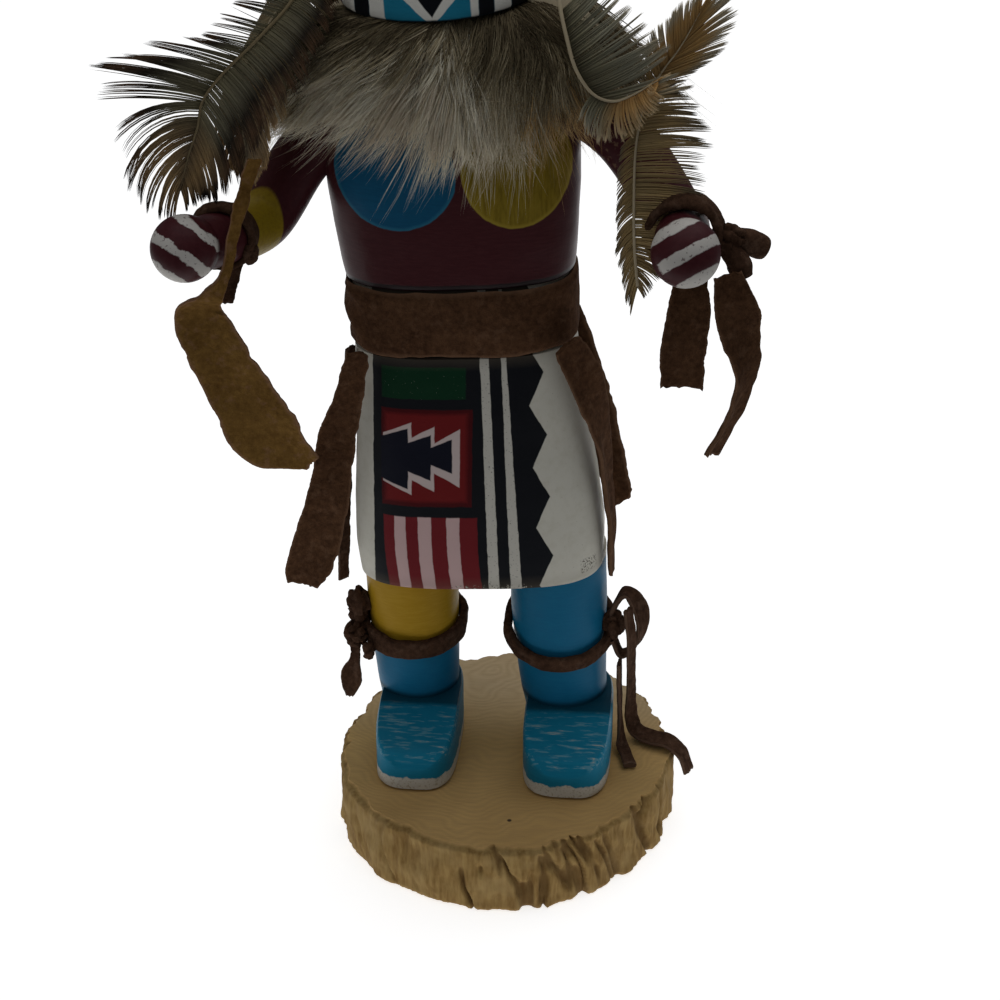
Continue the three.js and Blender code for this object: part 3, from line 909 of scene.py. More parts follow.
# %% Paint the kilt
def kilt_paint():
    """Ivory, with the sash, its three blocks, two lines and a row of teeth."""
    paint, place, across, deep, height = painted("kilt_paint", 0.62, wander=0.13)
    grain = paint.speckle(place, 0.5, 4)
    fine = paint.speckle(place, 2.2, 3)
    front = ~deep.above(BODY_DEEP, 0.5)
    s = across + (119 - height) * 0.075
    colour = paint.blend(grain.above(0.6, 0.25) * 0.35, WHITE, (0.53, 0.50, 0.40))
    colour = paint.blend(fine.above(0.70, 0.05) * 0.4, colour, (0.30, 0.27, 0.2))
    teeth = 18.9 - (height - 80.4).fold(7.83) * 0.455
    sash = s.above(-21.35, 0.15) & ~(across - teeth).above(0, 0.2) & front
    colour = paint.blend(sash, colour, BLACK)

    def beyond(edge, slope):
        """1 beyond a line that starts at `edge` by the hem and leans by `slope`."""
        return (across - (height - 73) * slope).above(edge, 0.15)

    first = beyond(3.2, 0.027) & ~beyond(5.75, 0.018)
    second = beyond(8.4, 0.02) & ~beyond(11.1, -0.006)
    dry = 1 - fine.above(0.66, 0.06) * 0.7
    colour = paint.blend((first | second) & front & dry, colour, (0.58, 0.56, 0.50))
    green = s.between(-19.1, 0.7, 0.4) & height.between(122, 130, 0.3) & front
    greens = paint.blend(fine.above(0.72, 0.04), (0.003, 0.033, 0.013), (0.3, 0.34, 0.28))
    colour = paint.blend(green, colour, greens)
    red = s.between(-19.25, 2.3, 0.3) & height.between(94.3, 119.4, 0.4) & front
    inner = s.between(-18.3, 1.0, 1.2) & height.between(95.6, 118.2, 1.0)
    reds = paint.blend(inner, (0.07, 0.004, 0.006), (0.165, 0.0105, 0.0115))
    colour = paint.blend(red, colour, reds)
    outline = (
        flare(s, height, -18.9, -12.0, 106.7, 6.2, 9.4)
        | flare(s, height, -12.9, -6.6, 106.7, 5.0, 8.4)
        | flare(s, height, -7.4, -0.6, 107.0, 3.3, 7.5)
    )
    steps = (
        flare(s, height, -19.4, -12.9, 106.6, 5.4, 7.9)
        | flare(s, height, -13.1, -7.4, 107.1, 3.6, 5.9)
        | flare(s, height, -7.6, -2.4, 107.5, 2.2, 4.4)
    )
    colour = paint.blend(outline & front, colour, (0.60, 0.50, 0.48))
    colour = paint.blend(steps & front, colour, (0.006, 0.007, 0.016))
    below = 91.4 - height
    q = s - below * below * 0.0036
    block = q.between(-18.9, 3.7, 0.25) & ~height.above(91.4, 0.3) & front
    whites = q.between(-16.3, -13.5, 0.2) | q.between(-10.55, -7.35, 0.2)
    whites = whites | q.between(-3.7, -0.6, 0.2)
    stripes = paint.blend(whites, (0.165, 0.0125, 0.017), (0.60, 0.42, 0.41))
    colour = paint.blend(block, colour, stripes)
    chips = paint.speckle(paint.place(stretch=(1, 1, 1.5)), 1.1, 3).above(0.56, 0.05)
    hem = ~height.above(72.9, 0.8) & across.between(-6, 13, 1.5) & chips & front
    chipped = paint.blend(fine.above(0.5, 0.1), (0.6, 0.57, 0.48), BLACK)
    colour = paint.blend(hem, colour, chipped)
    scuff = abs(across - 26.8).between(-1, 1.6, 0.6) & abs(height - 75.6).between(-1, 1.7, 0.6)
    colour = paint.blend(scuff & front & fine.above(0.56, 0.08), colour, (0.13, 0.11, 0.08))
    # painted shade just under the belt, and a darker band along the hem
    hem_dark_and_belt_shade = ~height.above(73.5, 4) * 0.25 + height.above(131, 4) * 0.3
    colour = paint.blend(hem_dark_and_belt_shade, colour, (0.2, 0.16, 0.11))
    paint.colour(colour)
    paint.rough(0.52 + (grain - 0.5) * 0.25)
    paint.relief(brushed(paint) * 0.5 + fine * 0.5, 0.05)
    return paint


dress(figure, kilt_paint(), "painted_wood", "carved_figure")


# %% [markdown]
# The torso is a satin maroon with a blue disc on one side of the chest and a yellow one on
# the other. The yellow was put on with a dry brush, so it is streaky, and each disc has a thin
# lighter rim.


# %% Paint the torso
def torso_paint():
    """Maroon, with a disc on each side of the chest and a dark line above the belt, part black paint
    and part painted shade.
    """
    paint, place, across, deep, height = painted("torso_paint", 0.42, wander=0.15, gloss=0.16)
    front = ~deep.above(BODY_DEEP, 0.5)
    streak = brushed(paint)
    strokes = brushed(paint, stretch=(2.2, 1, 0.35), scale=0.7)
    cloud = paint.speckle(place, 0.12, 3)
    colour = paint.blend(streak.above(0.55, 0.3) * 0.5, MAROON, PALE_MAROON)
    # a dark line above the belt: black paint, and painted shade of the belt's groove
    dark = height.between(149.2, 150.5, 0.3)
    colour = paint.blend(dark * 0.85, colour, (0.006, 0.004, 0.005))

    def disc(middle, rise, wide, tall):
        """Distance from a disc's middle, 1 at its rim."""
        x = (across - middle) / wide
        z = (height - rise) / tall
        return paint.node("ShaderNodeMath", {"operation": "SQRT"}, x * x + z * z)

    blue = disc(-11.4, 176.8, 13.9, 13.0)
    yellow = disc(15.6, 176.6, 11.9, 13.1)
    blue_fill = paint.blend(streak.above(0.5, 0.3) * 0.35, (0.003, 0.088, 0.19), (0.006, 0.13, 0.26))
    blue_fill = paint.blend(blue.above(0.955, 0.05), blue_fill, (0.02, 0.16, 0.27))
    yellow_fill = paint.blend(strokes.above(0.5, 0.28) * 0.8, (0.20, 0.135, 0.008), (0.32, 0.225, 0.02))
    bare = strokes.above(0.66, 0.06) & ~yellow.above(0.7, 0.5)
    yellow_fill = paint.blend(bare * 0.4, yellow_fill, (0.11, 0.06, 0.01))
    yellow_fill = paint.blend(yellow.above(0.95, 0.05), yellow_fill, (0.36, 0.26, 0.03))
    colour = paint.blend(~blue.above(1, 0.02) & front, colour, blue_fill)
    colour = paint.blend(~yellow.above(1, 0.025) & front, colour, yellow_fill)
    paint.colour(colour)
    paint.rough(0.4 + (cloud - 0.5) * 0.2)
    paint.relief(streak * 0.6 + strokes * 0.4, 0.06)
    return paint


figure.data.materials.append(torso_paint().material)
print("paints on the figure so far:", len(figure.data.materials))


# %% [markdown]
# Of the mask only the lowest band is known. Turquoise in front, it has white and black bars on
# both sides and a black wedge edged in white under the mouth. Bars and wedge end at a black
# line, and above it the mask is finished plainly in the same colours: turquoise, two small
# slits for eyes, and a maroon back and crown, as masks of this kind often have.


# %% Paint the mask
DEGREES = 57.3
BAR_TOP = 221.5


def mask_paint():
    """Turquoise with bars and a wedge below a black line, slits above it, maroon behind, and painted
    shade on the rim's underside.
    """
    paint, _, across, deep, height = painted("mask_paint", 0.5, wander=0.12)
    streak = brushed(paint)
    angle = across.math("ARCTAN2", across, BODY_DEEP - deep) * DEGREES
    colour = paint.blend(streak.above(0.5, 0.3) * 0.3, (0.014, 0.215, 0.35), (0.03, 0.29, 0.43))
    low = ~height.above(BAR_TOP, 0.25)
    white = angle.between(-36, -25.4, 0.8) | angle.between(-65.9, -49.1, 0.8)
    white = white | angle.between(24.4, 29.2, 0.8) | angle.between(38.7, 50.8, 0.8)
    black = angle.between(-49.1, -36, 0.8) | angle.between(29.2, 38.7, 0.8)
    black = black | angle.between(50.8, 66, 0.8)
    colour = paint.blend(white & low, colour, MASK_WHITE)
    colour = paint.blend(black & low, colour, BLACK)
    half = abs(across)
    chin = angle.between(-30, 30, 1) & low
    edge = ((height - 212.2) * 0.95 - abs(across - 0.8)).above(0, 0.3)
    wedge = ((height - 214.1) * 0.68 - abs(across - 0.9)).above(0, 0.3)
    colour = paint.blend(edge & chin, colour, MASK_WHITE)
    colour = paint.blend(wedge & chin, colour, BLACK)
    colour = paint.blend(height.between(BAR_TOP, 223.2, 0.25), colour, BLACK)
    eyes = abs(half - 8.4)
    slit = ~eyes.above(3.4, 0.3) & height.between(234, 237, 0.3)
    frame_of_slit = ~eyes.above(4.6, 0.3) & height.between(232.8, 238.2, 0.3)
    colour = paint.blend(frame_of_slit, colour, MASK_WHITE)
    colour = paint.blend(slit, colour, BLACK)
    back = abs(angle).above(66, 0.8) | height.above(252, 0.4)
    behind = paint.blend(streak * 0.5, MAROON, (0.09, 0.022, 0.025))
    colour = paint.blend(back, colour, behind)
    # painted shade: the rounded rim and the underside of the mask are nearly black
    colour = paint.blend(~height.above(213.5, 0.4), colour, (0.01, 0.02, 0.03))
    paint.colour(colour)
    paint.relief(streak, 0.05)
    return paint


figure.data.materials.append(mask_paint().material)
print("paints on the figure so far:", len(figure.data.materials))


# %% [markdown]
# One leg is yellow down to its tie and blue below, the other is all blue. The boots are a
# lighter blue with a white sole, and the tops of the feet are scuffed down to the primer.


# %% Paint the legs
def leg_paint():
    """Yellow and blue legs, and boots with scuffed insteps, painted shade at the ankle and white soles.
    """
    paint = Finish("leg_paint", roughness=0.5, Specular_IOR_Level=0.08)
    place = paint.place()
    x, y, z = paint.parts(place)
    streak = brushed(paint)
    fine = paint.speckle(place, 1.9, 3)
    right = ~x.above(-5, 1)
    blue = paint.blend(streak.above(0.52, 0.3) * 0.3, (0.006, 0.135, 0.265), (0.012, 0.18, 0.33))
    yellow = paint.blend(streak.above(0.55, 0.25) * 0.5, (0.41, 0.235, 0.012), (0.5, 0.31, 0.03))
    colour = paint.blend(right & z.above(51, 1.0), blue, yellow)
    ragged = z + (paint.speckle(paint.place(shift=(9, 5, 1)), 0.35, 3) - 0.5) * 3
    boots = ~z.above(34.4, 0.5)
    boot_blue = paint.blend(streak.above(0.5, 0.3) * 0.4, (0.006, 0.17, 0.285), (0.012, 0.215, 0.34))
    colour = paint.blend(boots, colour, boot_blue)
    scrape = paint.speckle(paint.place(stretch=(0.22, 1.5, 1.5)), 0.85, 4)
    upper = z.between(27.5, 33.6, 1.5) & ~y.above(-3, 5)
    colour = paint.blend((scrape.above(0.57, 0.07) & upper) * 0.55, colour, (0.16, 0.34, 0.40))
    colour = paint.blend((scrape.above(0.68, 0.04) & upper) * 0.75, colour, SCUFF)
    # painted shade in the corner where the leg meets the top of the boot
    ankle_crease_shade = z.between(33.3, 35.4, 1.3) & y.above(-5.5, 1.5)
    colour = paint.blend(ankle_crease_shade * 0.8, colour, (0.003, 0.03, 0.05))
    sole = ~ragged.above(22.8, 0.4)
    sole_white = paint.blend(fine.above(0.6, 0.1), (0.58, 0.56, 0.5), (0.4, 0.36, 0.28))
    colour = paint.blend(sole, colour, sole_white)
    paint.colour(colour)
    paint.rough(0.42 + (streak - 0.5) * 0.3)
    paint.relief(streak * 0.5 + fine * 0.4 + scrape * 0.5, 0.07)
    return paint


figure.data.materials.append(leg_paint().material)
print("paints on the figure:", ", ".join(paint.name for paint in figure.data.materials))

# %% [markdown]
# The four paints meet at edges of the carving: the hem, the belt and the mask's rim. Each
# face takes the paint of the zone that its middle is in, worked out in the figure's own frame.
# The neck is left in the torso's maroon, and the underside of the mask is the mask's.


# %% Put the paint on the figure
def zones(mesh):
    """Which paint each face has: 0 kilt, 1 torso, 2 mask, 3 legs."""
    middles = np.zeros(len(mesh.polygons) * 3)
    mesh.polygons.foreach_get("center", middles)
    x, y, z = middles.reshape(-1, 3).T / MM
    across = (x - FEET_ACROSS) * math.cos(LEAN) + (z - BASE_TOP) * math.sin(LEAN)
    height = BASE_TOP + (z - BASE_TOP) * math.cos(LEAN) - (x - FEET_ACROSS) * math.sin(LEAN)
    zone = np.zeros(len(x), np.int32)
    zone[height > 141] = 1
    zone[(height > MASK_RIM - 0.4) & (np.hypot(across, y - BODY_DEEP) > 12.9)] = 2
    zone[height < HEM - 0.12] = 3
    return zone


painted_zones = zones(figure.data)
figure.data.polygons.foreach_set("material_index", painted_zones)
print("faces in each zone:", np.bincount(painted_zones).tolist())

# %% [markdown]
# ## Arms
#
# Each arm is carved to a bend and ends in a round fist. A tube follows the bend and swells to
# the ball of the fist.

# %% Shape the arms
FIST_RADIUS = 7.4
ARMS = {
    "right": [[-36, 7, 186], [-47, 4, 173.6], [-54.8, -3, 162], [-62, -20, 164], [-67, -29, 165.5]],
    "left": [[14, 7, 189], [25.4, 4, 181.6], [37.4, -4, 166.8], [39.6, -22, 168.6], [40.4, -31, 169.6]],
}


def tube(name, centres, radii, around=24):
    """A round skin along a line of points, with its own radius at each."""
    along = directions(centres)
    side = unit(np.cross([0, 0, 1], along))
    up = np.cross(along, side)
    t = turn_round(around)[:, None]
    circle = side[:, None] * np.cos(t) + up[:, None] * np.sin(t)
    return skin(name, centres[:, None] + circle * np.asarray(radii)[:, None, None])


def arm(side):
    """One arm from inside the shoulder to the tip of the fist."""
    route = smooth_route(ARMS[side], 70)
    fist = np.array(ARMS[side][-1], float)
    onward = unit(fist - ARMS[side][-2])
    tip = fist + onward * np.concatenate([np.linspace(0.5, 6.4, 12), [6.9, 7.2, 7.36]])[:, None]
    route = np.vstack([route, tip])
    reach = np.linalg.norm(route - fist, axis=1)
    ball = np.sqrt(np.maximum(FIST_RADIUS ** 2 - reach ** 2, 0))
    stem = np.interp(np.arange(len(route)), [0, 17, 35, 52, 69], [6.5, 6.7, 6.6, 6.0, 5.8])
    stem[69:] = 0
    radii = np.maximum(np.maximum(stem, ball), 0.3)
    return tube(f"arm_{side}", route, radii, around=48)


arms = {side: arm(side) for side in ARMS}
print("arms:", ", ".join(made.name for made in arms.values()))

# %% [markdown]
# The arms' paint is the torso's maroon, with three white strokes across each fist for
# fingers. They are slabs of space between two planes, square to a direction of the stroke's
# own, so they run round the ball as a brush does. One forearm has a yellow band, and the
# other is dusty near the feather.


# %% Paint the arms
def arm_paint(side, across_strokes, offsets, width, raggedness, ends):
    """Maroon with white strokes square to a direction, at distances from the fist's centre."""
    paint = Finish(f"{side}_arm_paint", roughness=0.45, Specular_IOR_Level=0.14)
    fist = ARMS[side][-1]
    place = paint.place()
    streak = brushed(paint, stretch=(1, 1, 1))
    fine = paint.speckle(place, 1.3, 3)

    def towards(direction, origin):
        """Distance from a point, in millimetres, along a direction."""
        settings = {"operation": "SUBTRACT"}
        from_there = paint.node("ShaderNodeVectorMath", settings, place, tuple(origin))
        return paint.vector_math("DOT_PRODUCT", from_there, tuple(direction))

    onward = unit(np.array(fist) - ARMS[side][-2])
    out = towards(onward, fist)
    over = towards(unit(across_strokes), fist) + (paint.speckle(place, 0.35, 3) - 0.5) * raggedness
    colour = paint.blend(streak.above(0.55, 0.3) * 0.5, MAROON, PALE_MAROON)
    first, second, third = (
        over.between(offset - width / 2, offset + width / 2, 0.25) for offset in offsets
    )
    strokes = first | second | third
    run = towards(np.cross(unit(across_strokes), onward), fist) + (fine - 0.5) * raggedness
    dry = 1 - fine.above(0.64, 0.05) * 0.7
    whites = strokes & out.above(-4.2, 1.2) & run.between(*ends, 0.4) & dry
    colour = paint.blend(whites, colour, (0.62, 0.59, 0.55))
    if side == "right":
        forearm = unit(np.array(ARMS["right"][3]) - ARMS["right"][2])
        band = towards(forearm, ARMS["right"][2]).between(1.5, 13, 0.5)
        yellow = paint.blend(fine.above(0.55, 0.2) * 0.4, (0.33, 0.225, 0.015), (0.2, 0.12, 0.01))
        colour = paint.blend(band, colour, yellow)
    else:
        dust = paint.speckle(place, 0.9, 4).above(0.6, 0.06) & ~out.above(-9, 3)
        colour = paint.blend(dust * 0.6, colour, (0.23, 0.15, 0.09))
    paint.colour(colour)
    paint.relief(streak * 0.6 + strokes * 0.8, 0.1)
    return paint


STROKES = {
    "right": dict(
        across_strokes=[0.53, 0.456, 0.713], offsets=(4.8, -1.6, -6.8), width=2.0,
        raggedness=2.6, ends=(-9, 9)),
    "left": dict(
        across_strokes=[-0.508, 0.389, 0.765], offsets=(5.6, -0.6, -6.4), width=2.5,
        raggedness=0.9, ends=(-5.6, 9)),
}
for side, strokes in STROKES.items():
    dress(arms[side], arm_paint(side, **strokes), "painted_arm", f"{side}_arm")

# %% [markdown]
# ## Suede strips and thongs
#
# Suede is split leather: soft, matt, the same on both sides, a little more than a millimetre
# thick. Strips were cut with scissors, so their edges are nearly straight but fray a little,
# and their ends are slanted. One function lays such a strip along a route. It gives it a soft
# bow across its width, ripples, frayed edges and slanted ends. Each control point is x, y, z,
# the width there, and the direction, in degrees from the doll's left, in which the width lies.


# %% Strips of suede
STRIP_STEP = 0.55
ACROSS_STRIP = np.linspace(-1, 1, 17)[None]


def strip(name, controls, thickness=SUEDE, bow=0.0, ragged=0.35, cuts=(0, 0), ripple=0.35, seed=1):
    """A closed strip of suede along a route."""
    count = int(route_length(smooth_route(controls, 120)[:, :3]) / STRIP_STEP) + 2
    rows = smooth_route(controls, count)
    middle = rows[:, :3]
    along = directions(middle)
    turn = np.radians(rows[:, 4])
    side = np.stack([np.cos(turn), np.sin(turn), 0 * turn], -1)
    side = unit(side - along * (side * along).sum(-1, keepdims=True))
    face = np.cross(along, side)
    steps = np.linalg.norm(np.diff(middle, axis=0), axis=1)
    travelled = np.concatenate([[0], np.cumsum(steps)])[:, None]
    u = ACROSS_STRIP
    half = rows[:, 3:4] / 2
    here = np.stack([travelled + 0 * u, u * half, np.full_like(u * half, seed)], -1)
    each_edge = here * np.array([1, 0, 1]) + np.sign(u)[..., None] * 9
    fray = rough(each_edge, 2.4, 4, seed) * ragged * np.abs(u) ** 3
    out = u * half + fray * np.sign(u)
    lift = bow * half * (u ** 2 - 0.4) + ripple * rough(here, 8, 3, seed + 5)
    last = travelled[-1]
    slant = cuts[0] * out * (1 - ease(travelled, 0, 5))
    slant = slant + cuts[1] * out * ease(travelled, last - 5, last)
    ends = ease(travelled, last - 1.5, last) - (1 - ease(travelled, 0, 1.5))
    jagged = rough(here * 3, 2, 2, seed + 9) * 0.5 * ends
    rim = thickness / 2 * (1 - 0.55 * np.abs(u) ** 12) * (1 + 0.15 * rough(here, 3, 2, seed + 2))
    sheet = middle[:, None] + side[:, None] * out[..., None] + face[:, None] * lift[..., None]
    sheet = sheet + along[:, None] * (slant + jagged)[..., None]
    front = sheet + face[:, None] * rim[..., None]
    rear = (sheet - face[:, None] * rim[..., None])[:, ::-1]
    made = skin(name, np.concatenate([front, rear], axis=1), sharp=70)
    edge = np.abs(np.concatenate([u, u], axis=1)) ** 30 + 0 * travelled
    mark(made, "edge", np.maximum(edge, ease(travelled, last - 0.6, last)))
    return made


print("a strip has", ACROSS_STRIP.size, "points across and a row every", STRIP_STEP, "mm")


# %% [markdown]
# Light gets lost between the loose fibres of suede. It has no shine at all, its colour is
# mottled where fibres lie differently, and its cut edges are paler.


# %% Suede finishes
def suede(name, deep, pale, edge):
    """A napped leather between two tones, with the colour of its cut edges."""
    nap = Finish(name, roughness=0.97, Specular_IOR_Level=0.04)
    place = nap.place()
    cloud = nap.speckle(place, 0.16, 3)
    tuft = nap.speckle(place, 0.75, 4, 0.62)
    fibre = nap.speckle(place, 3.2, 3, 0.6)
    worn = nap.speckle(nap.place(shift=(5, 9, 3)), 0.38, 4, 0.6)
    colour = nap.blend((tuft * 0.65 + cloud * 0.35).above(0.5, 0.3), deep, pale)
    colour = nap.blend(worn.above(0.6, 0.12) * 0.35, colour, edge)
    colour = nap.blend(fibre.above(0.56, 0.2) * 0.4, colour, deep)
    nap.colour(nap.blend(nap.mark("edge") * 0.7, colour, edge))
    nap.relief(tuft * 0.6 + fibre * 0.5, 0.35, 0.9)
    return nap


SUEDES = {
    "brown_suede": suede(
        "brown_suede", (0.050, 0.0225, 0.0115), (0.125, 0.061, 0.031), (0.19, 0.105, 0.062)),
    "tan_suede": suede(
        "tan_suede", (0.125, 0.062, 0.0155), (0.245, 0.135, 0.036), (0.31, 0.17, 0.105)),
    "dark_thong": suede(
        "dark_thong", (0.036, 0.018, 0.011), (0.098, 0.051, 0.031), (0.17, 0.105, 0.072)),
}
print("suedes:", ", ".join(SUEDES))

# %% [markdown]
# Three thin thongs hang or lie free: one beside the kilt, and two that run down from the tie
# on the left leg, one of them over the edge of the slice. They are the doll's cords. Every
# route is the one that the solids follow.

# %% Lay the thongs
THONGS = {
    "right_belt_thong": ("hanging", 0.0032, [
        [-36.2, -1.5, 130, 3.2, 60], [-37.6, 0.6, 112, 3.2, 60], [-38.8, 1, 94, 3.2, 50],
        [-39.8, 0.6, 78, 3.2, 40], [-40.2, 0.4, 66, 2.8, 40],
    ]),
    "left_leg_thong": ("loose", 0.0043, [
        [29.8, -1.4, 62, 3.4, 62], [30.8, -1, 54, 3.4, 62], [31.1, 3, 36, 3.2, 55],
        [31.4, 6, 25, 4, 45],
        [33.0, 6.4, 20.7, 5.6, 70], [37, 4.4, 20.3, 6, 80], [41, 2.8, 20.5, 5.8, 80],
        [44.6, 0.6, 18.6, 5.2, 75], [46.3, -0.8, 14.4, 4.8, 70],
    ]),
    "left_leg_strap": ("loose", 0.0032, [
        [28.0, 0, 45.5, 3.2, 85], [28.4, 1.8, 36, 3.2, 85], [28.6, 3, 27, 3.2, 85],
        [29.2, 1, 21.1, 3.2, 60], [30.6, -3.4, 20.2, 3.2, 10], [31.6, -7.6, 20.1, 3.2, 0],
    ]),
}


def lay_thongs():
    """The free thongs, each laid along its route."""
    for number, (node, (lay, width, controls)) in enumerate(THONGS.items()):
        path = smooth_route(controls, 30)[:, :3] * MM
        piece = strip(
            f"{node}_suede", controls, thickness=1.1, bow=0.1, ragged=0.2, ripple=0.15, seed=60 + number
        )
        dress(piece, SUEDES["dark_thong"], "dark_thong", node)


lay_thongs()

# %% [markdown]
# The wider strips are sheets: the tails of the belt, the strip in the right hand, and the two
# tails at the left wrist. The strip in the right hand starts as a narrow thong, runs down past
# the fist and opens into a broad tan pennant. Each has the size that it was cut to, in metres.
# They are hung at the end of this part, after the pieces that they rest on.

# %% Measure the wide strips
TAILS = {
    "right_belt_tail": dict(
        flat=(0.0112, 0.0669), area=0.000587, rests_on="belt_band",
        bow=0.22, ripple=0.6, cuts=(0, -0.15),
        controls=[
            [-32.8, -12.6, 134, 5, 12], [-35.6, -10.8, 121.5, 6.6, 8], [-38.7, -9.6, 110.7, 9, 0],
            [-40.4, -9, 99.7, 9.2, 0], [-43.2, -8.6, 87.2, 10.8, 0], [-47.2, -8.4, 74, 10.8, 5],
            [-48.8, -8.4, 69.4, 7.6, 5],
        ]),
    "left_belt_tail": dict(
        flat=(0.0102, 0.0682), area=0.000583, rests_on="belt_band", bow=0.15, ripple=0.3, cuts=(0, 0.2),
        controls=[
            [14.4, -9.4, 136.5, 7, 35], [18.8, -6, 126, 9.6, 48], [22.2, -1.8, 111, 9.8, 74],
            [23.8, 0.4, 98, 9.2, 82], [25.0, 1, 85, 8, 86], [25.6, 1.2, 71, 5, 86],
        ]),
    "left_belt_tail_rear": dict(
        flat=(0.0106, 0.0547), area=0.000518, rests_on="belt_band", bow=0.15, ripple=0.4, cuts=(0, 0.5),
        controls=[
            [13, 18.4, 134, 9, 130], [17.4, 18.2, 118, 10.4, 140], [21.4, 18.2, 101, 10.2, 150],
            [26.4, 17.8, 81, 7, 160],
        ]),
    "right_wrist_strip": dict(
        flat=(0.0174, 0.0896), area=0.000841, rests_on="arm_right",
        bow=0.14, ripple=0.45, cuts=(0, 0.0),
        controls=[
            [-52.4, -21.5, 183.6, 3, 20], [-55.2, -21.8, 174.4, 3, 20], [-57.0, -26.8, 167.5, 2.8, 40],
            [-58.4, -30, 160, 2.6, 40], [-61.4, -30.4, 155, 5, 15], [-65.4, -26, 149.6, 11, 5],
            [-62.6, -23.8, 139, 14, 0], [-57.4, -21.8, 126, 15.6, 0], [-51.8, -20, 115, 17.2, 0],
            [-43.4, -18.6, 108.4, 5, 0],
        ]),
    "left_wrist_short_tail": dict(
        flat=(0.0100, 0.0265), area=0.000239, rests_on="left_wrist_wrap",
        bow=0.2, ripple=0.35, cuts=(0, 0.1),
        controls=[
            [41.8, -23, 161.6, 7, 0], [41.6, -24.5, 152, 9.6, 0], [40.6, -25.4, 144.4, 9.6, 5],
            [40.7, -25.6, 135.4, 9.2, 8],
        ]),
    "left_wrist_long_tail": dict(
        flat=(0.0100, 0.0473), area=0.000397, rests_on="left_wrist_wrap",
        bow=0.22, ripple=0.35, cuts=(0, 0.3),
        controls=[
            [49.6, -24.6, 162, 6, 10], [51.6, -25, 155, 9.4, 15], [53, -23.6, 147, 9.6, 35],
            [54.4, -23, 139.5, 8.6, 55], [53, -22, 130, 8, 60], [47.8, -21, 116.6, 7.6, 60],
        ]),
}


def hang_tails():
    """The wide strips, each laid along its route."""
    for number, (node, facts) in enumerate(TAILS.items()):
        shape = {key: facts[key] for key in ("controls", "bow", "ripple", "cuts")}
        piece = strip(f"{node}_suede", seed=70 + 3 * number, **shape)
        kind = "tan_suede" if node == "right_wrist_strip" else "brown_suede"
        dress(piece, SUEDES[kind], kind, node)


print("longest strip:", max(facts["flat"][1] for facts in TAILS.values()), "m")

# %% [markdown]
# The belt is a wider band of the same suede, pulled tight round the waist. It is a closed skin
# whose rings are cuts through the band, one after the other round the body. Its edges wander,
# and it creases where it is gathered into the knot at the doll's right side.


# %% Wrap the belt
def belt_band():
    """A closed band round the leaning waist."""
    count = 320
    v = np.concatenate([np.linspace(0, 1, 15), np.linspace(0.98, 0.02, 6)])
    outside = 1.5 * (1 - 0.55 * np.abs(np.linspace(-1, 1, 15)) ** 14)
    out = np.concatenate([outside, np.full(6, 0.1)])
    columns = []
    for rise, stand in zip(v, out):
        ring = level(0, 25.15 + stand + 0.4 * rise, 14.55 + stand + 0.4 * rise, 2.75, count)
        ring[:, 2] = BELT_BOTTOM + rise * (BELT_TOP - BELT_BOTTOM)
        wander = rough(ring * np.array([1, 1, 0]) + rise * 40, 9, 3, seed=91)
        ring[:, 2] += wander * 0.45 * (2 * rise - 1) * (stand > 0.2)
        outward = unit((ring - [0, BODY_DEEP, 0]) * [1, 1, 0])
        gathered = (1 - ease(ring[:, 0], -24, -17)) * (ring[:, 1] < BODY_DEEP)
        fold = np.sin(ring[:, 2] / 1.5 + ring[:, 0] * 0.9 + rough(ring, 6, 2, 4))
        swell = rough(ring, 7, 3, seed=90) * 0.3 + fold * 0.35 * gathered
        columns.append(ring + outward * (swell * (stand > 0.2) * min(1, stand))[:, None])
    rings = np.array(columns).transpose(1, 0, 2)
    made = skin("belt_band", lean(rings), closed=True)
    made.data.set_sharp_from_angle(angle=math.radians(60))
    edge = np.broadcast_to(np.abs(2 * v - 1) ** 40 * (out > 0.2), rings.shape[:2])
    mark(made, "edge", edge)
    return made


dress(belt_band(), SUEDES["brown_suede"], "brown_suede", "belt")

# %% [markdown]
# Narrow strips are tied round both legs and both wrists. A tie is a ring of soft suede with
# the lumps of its knot and its loose ends, joined into one solid. The ring's section is a
# rounded rectangle, crumpled by noise.


# %% Bands
def wrap(name, centre, radius, tall, thick, tilt=0.0, axis="z", seed=1):
    """A soft band round a limb: upright, or round the line that runs front to back."""
    t = turn_round(130)[:, None]
    a = turn_round(18)
    wide = squared(np.cos(a), 0.55) * thick / 2
    high = squared(np.sin(a), 0.6) * tall / 2
    spot = np.stack([radius * np.cos(t) + 0 * a, radius * np.sin(t) + 0 * a, high + 0 * t], -1)
    crumple = rough(spot, 3.2, 3, seed) * 0.42
    reach = radius + thick / 2 + wide + crumple
    rise = high * (1 + 0.12 * rough(spot * 0.6, 4, 2, seed + 3)) + tilt * np.sin(t)
    first = reach * np.cos(t)
    second = reach * np.sin(t)
    rings = np.stack([first, second, rise] if axis == "z" else [first, rise, second], -1)
    return skin(name, rings + np.array(centre), closed=True)


print("a band has", 130 * 18, "points")

# %% [markdown]
# A lump is a ball whose surface is folded, which is what a pulled knot looks like at this
# size.


